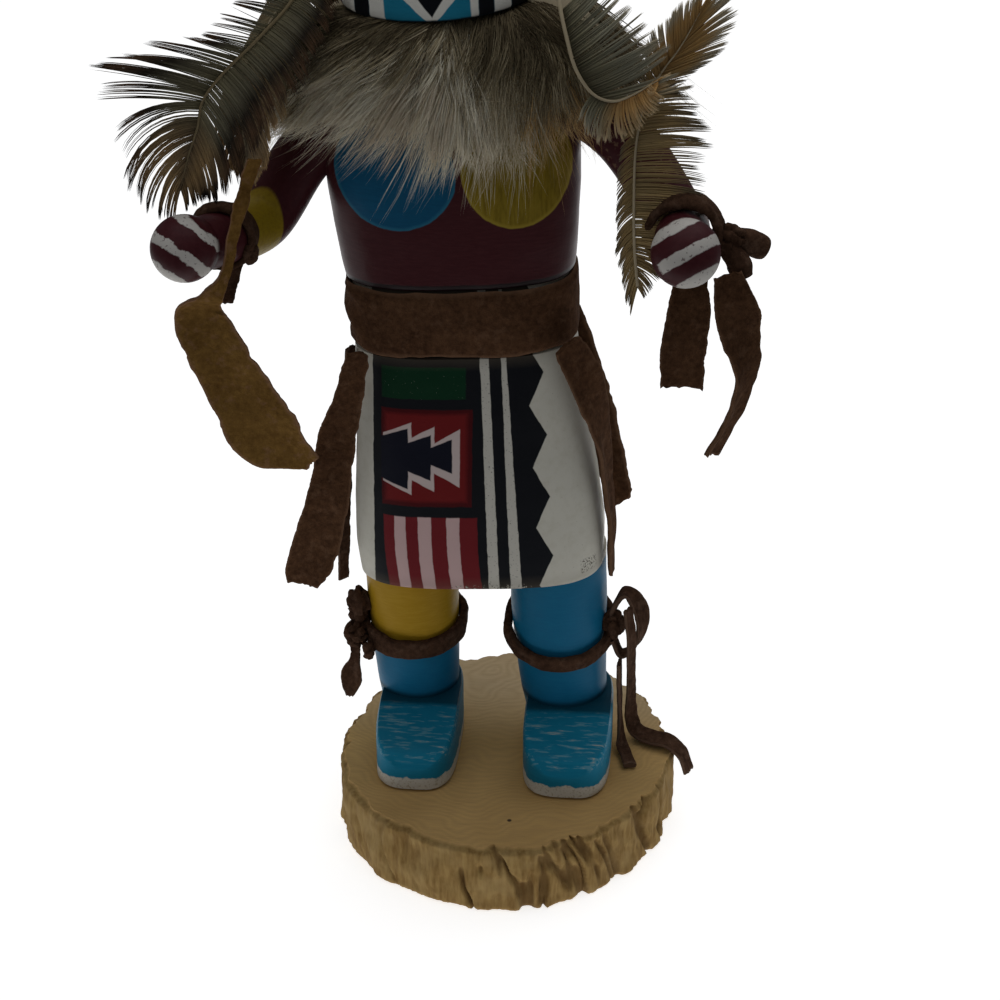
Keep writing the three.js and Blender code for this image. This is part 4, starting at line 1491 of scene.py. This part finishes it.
# %% Knots
def lump(name, centre, radius, stretch, seed):
    """A folded ball, as a pulled knot is."""
    polar = np.linspace(0.04, math.pi - 0.04, 26)[:, None]
    t = turn_round(34)[None]
    out = np.sin(polar)
    ball = np.stack([out * np.cos(t), out * np.sin(t), np.cos(polar) + 0 * t], -1)
    fold = 1 - 0.32 * (1 - ease(np.abs(rough(ball * radius, 2.6, 2, seed)), 0, 0.35))
    bump = 1 + 0.1 * rough(ball * radius, 1.5, 2, seed + 4)
    size = (fold * bump * radius * 1.06)[..., None]
    return skin(name, ball * size * stretch + np.array(centre))


print("a knot has", 26 * 34, "points")

# %% [markdown]
# The right leg's tie has a double knot and a short end, the left leg's a small knot and the
# loop of a bow. The band on the left leg slants, as it slipped down behind.


# %% Tie the legs
def right_leg_tie():
    """Band, three lumps of a double knot, and a short end."""
    end = [
        [-37.4, -0.6, 50, 2.8, 20], [-37.8, -1.8, 44, 3, 0], [-38.6, -2.6, 39, 5.4, -10],
        [-39.2, -3, 33.6, 2.4, 0],
    ]
    parts = [
        lump("lump_a", [-37, 2, 57.5], 3.7, [0.85, 1, 1.3], 5),
        lump("lump_b", [-37.2, -0.6, 50.8], 3.5, [0.9, 1, 0.95], 8),
        lump("lump_c", [-33.8, -3.8, 47.8], 1.9, [1, 1, 1.2], 11),
        strip("end_a", end, thickness=1.3, bow=0.3, seed=14, ripple=0.2),
    ]
    band = wrap("right_leg_wrap", [-23.7, LEG_DEEP, 51.8], 11.3, 5.2, 2.1, 1.8, seed=2)
    return union(band, *parts)


def left_leg_tie():
    """Band, knot and the loop of a bow."""
    loop = [
        [26.2, 3, 54, 3.4, 80], [26.6, 3.4, 60, 3.6, 80], [28.8, 4.4, 62.8, 4.6, 80],
        [32, 5.4, 59.4, 5.6, 60], [33.4, 5.6, 54, 5.2, 60], [31.8, 4.4, 48.2, 4, 70],
        [28.6, 3.4, 46.4, 3.4, 80], [26.4, 3, 51, 3, 80],
    ]
    parts = [
        lump("lump_d", [26.4, 2.6, 55.2], 2.7, [1, 1, 1.5], 21),
        strip("loop_a", loop, thickness=1.2, bow=0.15, seed=24, ripple=0.12),
    ]
    band = wrap("left_leg_wrap", [12.8, LEG_DEEP, 52.4], 11.9, 3.9, 2.1, 4.2, seed=4)
    return union(band, *parts)


for tie in (right_leg_tie, left_leg_tie):
    dress(tie(), SUEDES["dark_thong"], "dark_thong", tie.__name__)

# %% [markdown]
# The wrists' bands stand round a line that runs from front to back. The right one has a knot
# and one end. The left one has a knot from which two short ends stick out, rolled up as suede
# does when it dries.


# %% Tie the wrists, and hang the wide strips
def right_wrist_tie():
    """Band, knot and one hanging end."""
    end = [[-58.4, -17, 159, 3.6, 20], [-59.8, -17, 154, 3.8, 20], [-61.6, -17, 148, 3.4, 20]]
    parts = [
        strip("end_b", end, thickness=2.0, bow=0.2, seed=31, ripple=0.2),
        lump("lump_e", [-55.2, -18.6, 161], 2.6, [0.8, 0.8, 1.2], 33),
    ]
    band = wrap("right_wrist_wrap", [-61, -17.6, 163.8], 6.0, 5.0, 1.8, axis="y", seed=6)
    return union(band, *parts)


def left_wrist_tie():
    """Band, knot and two rolled ends."""
    rolled = [
        ([[49, -18, 168], [54.4, -15, 165.6], [57.2, -14, 164]], [2.2, 2.9, 2.5], 41),
        ([[48.4, -19, 167], [51.6, -20, 163.2], [52.8, -20.4, 160]], [2.0, 2.8, 2.4], 43),
    ]
    parts = [lump("lump_f", [49, -18.4, 167.6], 3.7, [1.1, 0.85, 0.95], 45)]
    for route, radii, seed in rolled:
        line = smooth_route(route, 26)
        fat = np.interp(np.linspace(0, 1, 26), [0, 0.5, 1], radii)
        fat = fat * (1 + 0.1 * rough(line, 2, 2, seed))
        parts.append(tube(f"rolled_{seed}", line, fat, around=20))
    band = wrap("left_wrist_wrap", [39.8, -18, 168.8], 6.6, 6.6, 2.2, axis="y", seed=8)
    return union(band, *parts)


for tie in (right_wrist_tie, left_wrist_tie):
    dress(tie(), SUEDES["dark_thong"], "dark_thong", tie.__name__)
hang_tails()

# %% [markdown]
# ## Strands
#
# Fur and feathers are both bundles of thin tapered strands. Each strand here is a real one: a
# three-sided tube along its own path, closed by a point at the tip. All the strands of a piece
# are one mesh, written in one go. Its map "OFBake" lays them side by side: along one side
# runs the strand's tint, along the other the way from root to tip, so that a material can
# colour a strand by those two numbers alone.
#
# Hairs and barbs cling together in locks. `gather` draws the strands of each lock towards the
# strand in its middle, more and more towards the tip.


# %% Strands as meshes
def strands(name, paths, radii, tints):
    """Tapered strands along paths, shape (strands, points, 3), as one mesh in millimetres."""
    many, points, _ = paths.shape
    along = directions(paths)
    side = unit(np.cross(along, [0.31, 0.72, 0.21]))
    up = np.cross(along, side)
    a = (2 * math.pi * np.arange(3) / 3)[:, None]
    spokes = side[:, :-1, None] * np.cos(a) + up[:, :-1, None] * np.sin(a)
    rings = paths[:, :-1, None] + spokes * radii[:, :-1, None, None]
    corners = np.concatenate([rings.reshape(many, -1, 3), paths[:, -1:]], axis=1)

    k = np.arange(3)
    start = 3 * np.arange(points - 2)[:, None]
    onward = (k + 1) % 3
    quads = np.stack([start + k, start + onward, start + 3 + onward, start + 3 + k], -1).reshape(-1, 4)
    last = 3 * (points - 2)
    tips = np.stack([last + k, last + onward, np.full(3, last + 3)], -1)
    pattern = np.concatenate([quads.ravel(), tips.ravel(), [2, 1, 0]])
    sizes = np.concatenate([np.full(len(quads), 4), np.full(4, 3)])
    loops = (np.arange(many)[:, None] * (last + 4) + pattern).ravel()
    totals = np.tile(sizes, many)

    mesh = bpy.data.meshes.new(name)
    mesh.vertices.add(many * (last + 4))
    mesh.vertices.foreach_set("co", (corners * MM).ravel())
    mesh.loops.add(len(loops))
    mesh.loops.foreach_set("vertex_index", loops.astype(np.int32))
    mesh.polygons.add(len(totals))
    starts = np.concatenate([[0], np.cumsum(totals)[:-1]])
    mesh.polygons.foreach_set("loop_start", starts.astype(np.int32))
    mesh.update(calc_edges=True)
    mesh.polygons.foreach_set("use_smooth", np.full(len(totals), True))
    tints = np.asarray(tints)[:, None]
    along_strand = np.append(np.repeat(np.linspace(0, 1, points)[:-1], 3), 1.0)[pattern]
    across_strand = np.append(np.tile(k, points - 1), 1)[pattern] * 0.004
    flat = np.stack([tints * 0.98 + across_strand, along_strand + 0 * tints], -1)
    mesh.uv_layers.new(name="OFBake").data.foreach_set("uv", flat.ravel().astype(np.float32))
    made = bpy.data.objects.new(name, mesh)
    bpy.context.scene.collection.objects.link(made)
    return made


def gather(paths, leaders, pull):
    """Draws every strand towards its lock's leader, more towards the tip."""
    s = np.linspace(0, 1, paths.shape[1])[None, :, None]
    return paths + (paths[leaders] - paths) * np.asarray(pull).reshape(-1, 1, 1) * s ** 1.3


def taper(count, points, thick, tip=0.12, seed=0):
    """Radii along each strand: full for the first part, then down to a fine tip."""
    s = np.linspace(0, 1, points)[None]
    vary = 0.75 + 0.5 * np.random.default_rng(seed).random((count, 1))
    return thick * vary * (1 - (1 - tip) * s ** 1.6)


print("a strand's radius from root to tip:", taper(1, 5, 0.1).round(3).tolist()[0])


# %% [markdown]
# ## Rabbit fur
#
# A strip of rabbit pelt is wrapped round the neck. Rabbit has dense short down and longer
# guard hairs. The hairs here start under the surface of the ruff, follow it outward and down,
# and hang free beyond its edge. In front they were brushed towards the doll's right, and they
# are white there, beige towards the left and dark near the mask. The rest of the ruff is
# mixed brown.


# %% Shape the ruff
def ruff_surface(t, w):
    """Points of the ruff, by the angle round the neck and the way down."""
    wide, deep, height = ruff_size(t, w)
    return np.stack([wide * np.cos(t), BODY_DEEP + deep * np.sin(t), height], -1)


def ruff_size(t, w):
    """Half width, half depth and height of the outside: w is 0 at the mask, 1 at the edge."""
    front = np.abs(np.sin(t))
    droop = 5 * front ** 0.7 + 2 * np.sin(4 * t + 0.5)
    lump = 1 + 0.05 * np.sin(3 * t + 1) + 0.04 * np.sin(7 * t)
    stops = [0, 0.1, 0.3, 0.58, 0.8, 1.0, 1.8]
    wide = np.interp(w, stops, [19.5, 24.5, 32, 37.4, 38.6, 35.6, 31]) * lump
    deep = np.interp(w, stops, [19, 20.8, 23, 24.0, 23.4, 21.0, 18.4]) * lump
    height = np.interp(w, stops, [213.4, 212.6, 207, 198.5, 190, 184.5, 150])
    return wide, deep, height - droop * np.interp(w, [0.58, 0.8, 1.0], [0, 0.4, 1])


print("the ruff is", round(float(2 * ruff_size(0.0, 0.8)[0]), 1), "mm wide")

# %% [markdown]
# A hair's direction is set by a sweep, how far it goes sideways for each millimetre down, and
# its length by a limit, how far down it may reach. Both change across the front, as the brush
# went. Hairs of one lock share a part of their chance, so that the locks differ more than the
# hairs in them.


# %% Comb the fur
MM_PER_W = 42.0
POINTS = 5


def combed(count, seed, root, length, stand, thick, lock, beyond):
    """Paths, radii and tints of `count` hairs of one kind."""
    dice = np.random.default_rng(seed)
    t = dice.uniform(-math.pi, math.pi, count)
    t = np.where(dice.random(count) < 0.5, dice.uniform(-2.9, -0.25, count), t)
    w = dice.uniform(*root, count)
    order = np.lexsort((w, np.round(t * 26)))
    t, w = t[order], w[order]
    leaders = np.minimum((np.arange(count) // lock) * lock + lock // 2, count - 1)
    wide = ruff_size(t, w)[0]
    across = np.cos(t)
    in_front = np.sin(t) < 0
    stops = [-1, -0.85, -0.6, -0.2, 0.03, 0.14, 0.5, 0.8, 1]
    front_sweep = np.interp(across, stops, [-0.7, -0.8, -1.0, -1.0, -0.75, -0.35, -0.22, 0.0, 0.5])
    sweep = np.where(in_front, front_sweep, across * 0.45)
    sweep = sweep + dice.normal(0, 0.10, count) + dice.normal(0, 0.24, count)[leaders]
    slant = np.sqrt(1 + sweep ** 2)
    limit = np.interp(across, stops, [0.95, 0.98, 0.88, 0.82, 0.84, 1.0, 1.08, 0.9, 0.9])
    limit = limit + beyond + dice.normal(0, 0.07, count) + dice.normal(0, 0.06, count)[leaders]
    reach = dice.uniform(*length, count) * (1 + 0.15 * dice.normal(0, 1, count)[leaders])
    reach = np.clip(reach, 4, np.maximum((limit - w) * MM_PER_W * slant, 4))
    s = np.linspace(0, 1, POINTS)[None]
    travel = reach[:, None] * s / slant[:, None]
    down = w[:, None] + travel / MM_PER_W
    wide_here, deep_here, height = ruff_size(t[:, None], down)
    x = (wide * across)[:, None] + sweep[:, None] * travel
    inside = np.clip(1 - (x / (wide_here + 1.5)) ** 2, 0.02, 1)
    side = np.where(in_front, -1, 1)[:, None]
    paths = np.stack([x, BODY_DEEP + side * deep_here * np.sqrt(inside), height], -1)
    outward = unit((paths - [0, BODY_DEEP, 196]) * [0.8, 1.4, 0.5])
    lift = stand[0] + (stand[1] - stand[0]) * s ** 1.2
    lift = lift + (dice.normal(0, 0.6, (count, 1)) + dice.normal(0, 0.9, (count, 1))[leaders]) * s
    paths = paths + outward * lift[..., None]
    bend = np.stack([rough(paths, 7, 2, seed + k) for k in range(3)], -1)
    paths = gather(paths + bend * s[..., None] * 1.3, leaders, dice.uniform(0.3, 0.8, count))
    tints = fur_tint(across, in_front, w)
    stray = dice.normal(0, 0.03, count) + dice.normal(0, 0.055, count)[leaders]
    grey = np.clip(tints + stray, 0.01, 0.49)
    warm = np.clip(tints + stray, 0.56, 0.99)
    tints = np.where(tints < 0.5, grey, warm)
    return lean(paths), taper(count, POINTS, thick, seed=seed), tints


def fur_tint(across, in_front, w):
    """Tint by place: up to 0.5 from dark olive to white, beyond it from ginger to cream."""
    stops = [-1, -0.93, -0.86, -0.74, -0.6, 0.0, 0.1, 0.5, 0.66, 0.76, 1]
    front = np.interp(across, stops, [0.2, 0.07, 0.05, 0.12, 0.44, 0.47, 0.42, 0.37, 0.24, 0.13, 0.15])
    tint = np.where(in_front, front, 0.2 + 0.06 * np.sin(across * 9))
    low_left = in_front & (across < -0.7) & (w > 0.42)
    tint = np.where(low_left, 0.30, tint)
    ginger = in_front & (across > 0.62) & (across < 0.93) & (w > 0.42)
    tint = np.where(ginger, 0.72, tint)
    shown = ease(w, -0.05, 0.3)
    return tint * shown + 0.06 * (1 - shown)


print("tint in the middle of the front:", float(fur_tint(np.zeros(1), np.ones(1, bool), 0.5)[0]))


# %% [markdown]
# The hair's colour depends on its tint, and every hair is darker at its root, where light
# hardly reaches.


# %% Finish the fur
def fur_finish():
    """Colour from a hair's tint, darker at the root."""
    hair = Finish("rabbit_fur", roughness=0.75, Specular_IOR_Level=0.1)
    tint, way, _ = hair.parts(hair.node("ShaderNodeUVMap", {"uv_map": "OFBake"}))
    stops = [
        (0.0, (0.075, 0.055, 0.030)), (0.16, (0.28, 0.225, 0.135)), (0.30, (0.66, 0.565, 0.385)),
        (0.43, (0.93, 0.89, 0.745)), (0.53, (0.36, 0.205, 0.075)), (0.75, (0.64, 0.43, 0.20)),
        (1.0, (0.80, 0.65, 0.42)),
    ]
    body = hair.node("ShaderNodeValToRGB", {"stops": stops}, tint)
    root = hair.blend(0.18, body, (0.08, 0.06, 0.034))
    hair.colour(hair.blend(way.above(0.16, 0.45), root, body))
    return hair


FUR = fur_finish()
print("fur is coloured by", len(FUR.tree.nodes), "nodes")

# %% [markdown]
# The pelt under the hair is a closed skin that goes down the outside of the ruff and back up
# inside it. It stands for the packed solid. Without it the neck would show between hairs.

# %% Wrap the pelt
pelt_down = [(0.02, 3.0), (0.1, 3.0), (0.3, 3.0), (0.5, 3.0), (0.66, 3.0), (0.78, 3.0)]
pelt_up = [(0.84, 7.0), (0.8, 8.2), (0.6, 9.4), (0.3, 10.6), (0.06, 11.8)]
pelt_rings = []
for w, inner in pelt_down + pelt_up:
    ring = ruff_surface(turn_round(160), np.full(160, w))
    pelt_rings.append(ring - unit((ring - [0, BODY_DEEP, 196]) * [1, 1, 0.4]) * inner)
pelt = skin("fur_pelt", lean(np.array(pelt_rings)), closed=True)
leather = Finish("fur_pelt", roughness=0.95, Base_Color=(0.30, 0.25, 0.17), Specular_IOR_Level=0.1)
dress(pelt, leather, "rabbit_fur", "fur_ruff")

# %% [markdown]
# Three kinds of hair grow on it: short down, the coat, and a few long thin guard hairs that
# stand out and hang lower. Lengths, stands and thicknesses are in millimetres.

# %% Grow the fur
FUR_KINDS = {
    "fur_down": dict(
        count=8700, seed=101, root=(-0.05, 0.64), length=(9, 19), stand=(-2.6, 0.2),
        thick=0.17, lock=14, beyond=-0.1),
    "fur_coat": dict(
        count=8700, seed=202, root=(0.0, 0.6), length=(16, 27), stand=(-2.0, 1.0),
        thick=0.13, lock=24, beyond=0.0),
    "fur_guard": dict(
        count=2400, seed=303, root=(0.1, 0.66), length=(20, 36), stand=(-1.5, 2.0),
        thick=0.08, lock=6, beyond=0.16),
}
for name, kind in FUR_KINDS.items():
    dress(strands(name, *combed(**kind)), FUR, "rabbit_fur")

# %% [markdown]
# ## Feathers
#
# A feather is a quill with barbs on both sides. Near the quill the barbs hook together into a
# smooth vane. These feathers are old and handled, so the outer parts of their barbs have come
# apart into locks. Each side of each feather is a short table along the quill: where, how
# long the barbs are there, the direction in which they leave the quill and in which they end,
# in degrees from the doll's left upwards, and how far the locks stray.


# %% Grow barbs
BARB_POINTS = 9


def barbs(quill, table, count, seed, lock, pull, depth, **_):
    """Paths of the barbs on one side of a quill, and how far along it each starts."""
    dice = np.random.default_rng(seed)
    where = np.sort(dice.uniform(table[0][0], table[-1][0], count))
    places, *columns = np.array(table, float).T
    length, leave, arrive, stray = (np.interp(where, places, column) for column in columns)
    ticks = np.linspace(0, 1, len(quill))
    roots = np.stack([np.interp(where, ticks, quill[:, k]) for k in range(3)], -1)
    sizes = dice.integers(lock // 2, lock * 3 // 2 + 1, count)
    lock_number = np.searchsorted(np.cumsum(sizes), np.arange(count), side="right")
    firsts = np.searchsorted(lock_number, np.arange(lock_number.max() + 1))
    lasts = np.append(firsts[1:], count) - 1
    leaders = ((firsts + lasts) // 2)[lock_number]
    sway = dice.normal(0, 1, count)[leaders] * stray + dice.normal(0, 1.2, count)
    longer = 0.06 * dice.normal(0, 1, count)[leaders] + 0.03 * dice.normal(0, 1, count)
    length = length * (1 + np.clip(longer, -0.2, 0.1))
    s = np.linspace(0, 1, BARB_POINTS)[None]
    angle = np.radians(leave[:, None] + (arrive - leave)[:, None] * s + sway[:, None] * s)
    step = length[:, None] / (BARB_POINTS - 1)
    forward = np.stack([np.cos(angle) * step, 0 * angle, np.sin(angle) * step], -1)
    paths = roots[:, None] + np.cumsum(forward, axis=1) - forward[:, :1]
    arch = depth * np.sin(s * math.pi * 0.7)
    part = dice.normal(0, 0.6, (count, 1))[leaders] * s ** 2 * (0.3 + stray[:, None] / 8)
    paths[..., 1] += arch + part + dice.normal(0, 0.12, (count, 1))
    return gather(paths, leaders, dice.uniform(pull - 0.2, pull, count)), where


print("a barb has", BARB_POINTS, "points")

# %% [markdown]
# A feather joins the barbs of both sides into one piece, its vanes. A strand's tint is its
# place along the quill. The quill is a thin tube of its own, a little in front of the barbs.


# %% Build a feather
QUILL_POINTS = 60


def feather(name, quill_points, sides, quill_width, seed):
    """The vanes and the quill of one feather."""
    quill = smooth_route(quill_points, QUILL_POINTS)[:, :3]
    paths = []
    tints = []
    radii = []
    for number, side in enumerate(sides):
        found, where = barbs(quill, seed=seed + 7 * number, **side)
        paths.append(found)
        tints.append(0.02 + 0.9 * where)
        radii.append(taper(len(found), BARB_POINTS, side["thick"], tip=0.3, seed=seed + number))
    vanes = strands(name, np.concatenate(paths), np.concatenate(radii), np.concatenate(tints))
    narrowing = np.interp(np.linspace(0, 1, QUILL_POINTS), [0, 0.75, 1], [1, 0.6, 0.2])
    width = quill_width * narrowing
    shaft = tube(f"{name}_quill", quill - [0, 0.25, 0], width, around=8)
    return vanes, shaft


print("a quill has", QUILL_POINTS * 8, "points")

# %% [markdown]
# Four feathers: a large one at the doll's right that spreads over the hand, a smaller one
# under it, one from the mask's left side over the ruff, and one that stands up from the left
# wrist. Each has its quill's route and a table for either side.

# %% Measure the feathers
FEATHERS = {
    "right_side_feather": dict(
        quill_width=0.42,
        quill=[[-38.9, -1.5, 231], [-42.9, -12, 217.6], [-50.3, -17.5, 209.4], [-58.4, -19.5, 201.6],
               [-62.9, -20.4, 195.6], [-64.2, -20.8, 190], [-66.4, -21, 184], [-68.8, -21, 176]],
        sides=[
            dict(count=470, lock=12, pull=0.75, depth=-0.8, thick=0.15, table=[
                [0.08, 9, 150, 170, 1], [0.34, 11, 160, 172, 1], [0.38, 17, 158, 170, 5],
                [0.45, 23, 156, 172, 6], [0.53, 25, 158, 178, 6], [0.58, 22, 168, 214, 7],
                [0.66, 22, 172, 250, 6], [0.74, 21, 188, 262, 4], [0.82, 18, 205, 264, 4],
                [0.92, 13, 228, 266, 3], [1.0, 8, 250, 268, 3]]),
            dict(count=520, lock=18, pull=0.4, depth=0.8, thick=0.2, table=[
                [0.1, 9, -20, -60, 1], [0.3, 14, -35, -70, 1], [0.45, 17, -45, -80, 1],
                [0.6, 19, -56, -86, 1], [0.72, 16, -66, -88, 2], [0.82, 13, -68, -80, 4],
                [0.92, 9, -75, -86, 4], [1.0, 6, -80, -90, 3]]),
        ]),
    "right_under_feather": dict(
        quill_width=0.3,
        quill=[[-40.6, 2, 227], [-47, -6, 214], [-53.5, -11.6, 204], [-56.8, -14.2, 195],
               [-55.8, -15, 188],
               [-54.8, -16, 180]],
        sides=[
            dict(count=420, lock=20, pull=0.25, depth=-0.6, thick=0.24, table=[
                [0.1, 6, 190, 230, 1], [0.45, 11, 212, 258, 1], [0.75, 11, 232, 262, 1],
                [1.0, 5, 258, 264, 1]]),
            dict(count=460, lock=20, pull=0.25, depth=0.6, thick=0.24, table=[
                [0.1, 9, -10, -60, 1], [0.4, 14, -25, -78, 1], [0.7, 13, -38, -80, 1],
                [1.0, 5, -70, -80, 1]]),
        ]),
    "left_side_feather": dict(
        quill_width=0.5,
        quill=[[8.1, -1.5, 231], [11.6, -13, 219], [13.9, -18, 211.5], [16.3, -20.5, 205],
               [20.1, -21, 200.1], [24.1, -21, 198.9], [28, -21, 200.4], [33.1, -20.6, 203.6]],
        sides=[
            dict(count=430, lock=15, pull=0.75, depth=1.2, thick=0.16, table=[
                [0.2, 13, 44, 54, 3], [0.4, 17, 30, 44, 5], [0.5, 19, 20, 40, 5], [0.6, 18, 8, 32, 5],
                [0.7, 16, 0, 22, 4], [0.8, 11, 4, 18, 3], [0.9, 6, 15, 25, 3], [1.0, 3.5, 22, 28, 3]]),
            dict(count=520, lock=8, pull=0.4, depth=-1.4, thick=0.11, table=[
                [0.56, 5, 215, 262, 7], [0.62, 8, 225, 266, 8], [0.72, 9, 240, 275, 9],
                [0.8, 8, 262, 290, 9], [0.88, 6, 285, 318, 8], [0.95, 4, 320, 345, 5],
                [1.0, 3.5, 345, 10, 4]]),
        ]),
    "left_hand_feather": dict(
        quill_width=0.36,
        quill=[[30.4, -25, 159], [29.4, -23, 167], [28.9, -19.5, 175], [29, -17, 189], [30.8, -16, 198],
               [33.6, -15.5, 203.4], [37.4, -15, 209], [41.2, -15, 216.6]],
        sides=[
            dict(count=640, lock=14, pull=0.45, depth=1.0, thick=0.19, table=[
                [0.0, 4, -70, -75, 6], [0.1, 7, -20, -40, 2], [0.2, 13, 0, -22, 2],
                [0.3, 15.5, -2, -14, 3],
                [0.45, 15, 10, -3, 4], [0.55, 10, 8, -4, 4], [0.62, 5, 5, 8, 1], [0.68, 11, 16, 19, 1],
                [0.75, 15, 26, 22, 1], [0.82, 15, 38, 31, 1.5], [0.9, 12, 52, 43, 2],
                [1.0, 8, 66, 56, 2]]),
            dict(count=560, lock=14, pull=0.35, depth=-0.4, thick=0.19, table=[
                [0.0, 8, 256, 274, 6], [0.1, 7, 235, 262, 3], [0.2, 6, 212, 250, 1],
                [0.35, 5.5, 206, 246, 1],
                [0.5, 4.5, 196, 225, 1], [0.64, 3, 140, 130, 1], [0.72, 9, 108, 100, 2],
                [0.85, 9, 98, 88, 2],
                [1.0, 6, 86, 80, 2]]),
        ]),
}

print("barbs:", sum(side["count"] for made_of in FEATHERS.values() for side in made_of["sides"]))

# %% [markdown]
# Each feather's colours run along its barbs in two versions, and the tint, which is the place
# along the quill, blends from the first to the second. Faint darker bands lie across both.


# %% Colour barbs
def plumage(name, edge, first, second):
    """Barbs coloured root to tip by `first`, and by `second` beyond a place along the quill."""
    barb = Finish(name, roughness=0.7, Specular_IOR_Level=0.1)
    tint, way, _ = barb.parts(barb.node("ShaderNodeUVMap", {"uv_map": "OFBake"}))
    near = barb.node("ShaderNodeValToRGB", {"stops": first}, way)
    far = barb.node("ShaderNodeValToRGB", {"stops": second}, way)
    colour = barb.blend(tint.above(edge, 0.12), near, far)
    bands = (tint * 47).fold(1.0)
    barb.colour(barb.blend(bands * 0.28, colour, (0.06, 0.05, 0.035)))
    return barb


OLIVE = (0.25, 0.22, 0.13)
GREY = (0.20, 0.18, 0.12)
DUSK = (0.045, 0.035, 0.026)
TAN = (0.46, 0.30, 0.14)
CREAM = (0.68, 0.59, 0.42)
PALE_QUILL = (0.46, 0.38, 0.25)
DARK_QUILL = (0.21, 0.16, 0.085)
print("most barbs run from olive to tan, and a tip may be", CREAM)

# %% [markdown]
# The colours of each feather, from root to tip of its barbs. The large one is grey-brown with
# rust and nearly black tips, its neighbour tan, and the two on the doll's left run from
# grey-green and brown to ginger and cream.

# %% Finish and place the feathers
PLUMAGE = {
    "right_side_feather": dict(
        edge=0.62, quill=DARK_QUILL,
        first=[(0, OLIVE), (0.34, GREY), (0.55, DUSK), (0.8, (0.16, 0.09, 0.05)), (1, DUSK)],
        second=[(0, (0.17, 0.12, 0.07)), (0.4, TAN), (0.78, (0.26, 0.17, 0.09)), (0.86, DUSK),
                (1, (0.012, 0.012, 0.014))]),
    "right_under_feather": dict(
        edge=0.42, quill=PALE_QUILL, first=[(0, (0.42, 0.34, 0.20)), (1, (0.34, 0.26, 0.155))],
        second=[(0, (0.30, 0.235, 0.16)), (0.35, (0.46, 0.33, 0.19)), (0.7, (0.54, 0.38, 0.22)),
                (1, TAN)]),
    "left_side_feather": dict(
        edge=0.66, quill=PALE_QUILL,
        first=[(0, (0.08, 0.07, 0.04)), (0.25, (0.24, 0.22, 0.14)), (0.6, (0.40, 0.38, 0.28)),
               (1, CREAM)],
        second=[(0, (0.42, 0.22, 0.07)), (0.35, (0.74, 0.44, 0.165)), (1, (0.84, 0.66, 0.40))]),
    "left_hand_feather": dict(
        edge=0.63, quill=PALE_QUILL,
        first=[(0, (0.36, 0.26, 0.12)), (0.45, (0.42, 0.29, 0.13)), (0.75, (0.30, 0.22, 0.12)),
               (1, GREY)],
        second=[(0, (0.38, 0.22, 0.08)), (0.45, (0.60, 0.36, 0.13)), (0.62, (0.62, 0.42, 0.20)),
                (0.8, CREAM), (1, CREAM)]),
}
for number, (node, made_of) in enumerate(FEATHERS.items()):
    vanes, shaft = feather(
        f"{node}_vanes", made_of["quill"], made_of["sides"], made_of["quill_width"], 500 + 31 * number
    )
    look = PLUMAGE[node]
    barb = plumage(f"{node}_plumage", look["edge"], look["first"], look["second"])
    horn = Finish(
        f"{node}_quill", roughness=0.5, Base_Color=look["quill"], Specular_IOR_Level=0.2
    )
    dress(vanes, barb, "feather", node)
    dress(shaft, horn, "feather")

# %% [markdown]
# ## Finish
#
# Both boxes, the solids' and the dressed doll's, are kept, and the dressed one is printed in
# millimetres; loose fibres stand a little proud of the solids' box. The dressed doll has to
# stay inside the solids' box, apart from loose fibres that stand a little proud.

# %% Measure and finish
dressed_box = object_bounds()
boxes = {
    "cad": [list(corner) for corner in cad_box],
    "visual": [list(corner) for corner in dressed_box],
}
in_mm = [[round(value / MM, 1) for value in corner] for corner in boxes["visual"]]
print("dressed box, mm:", in_mm)
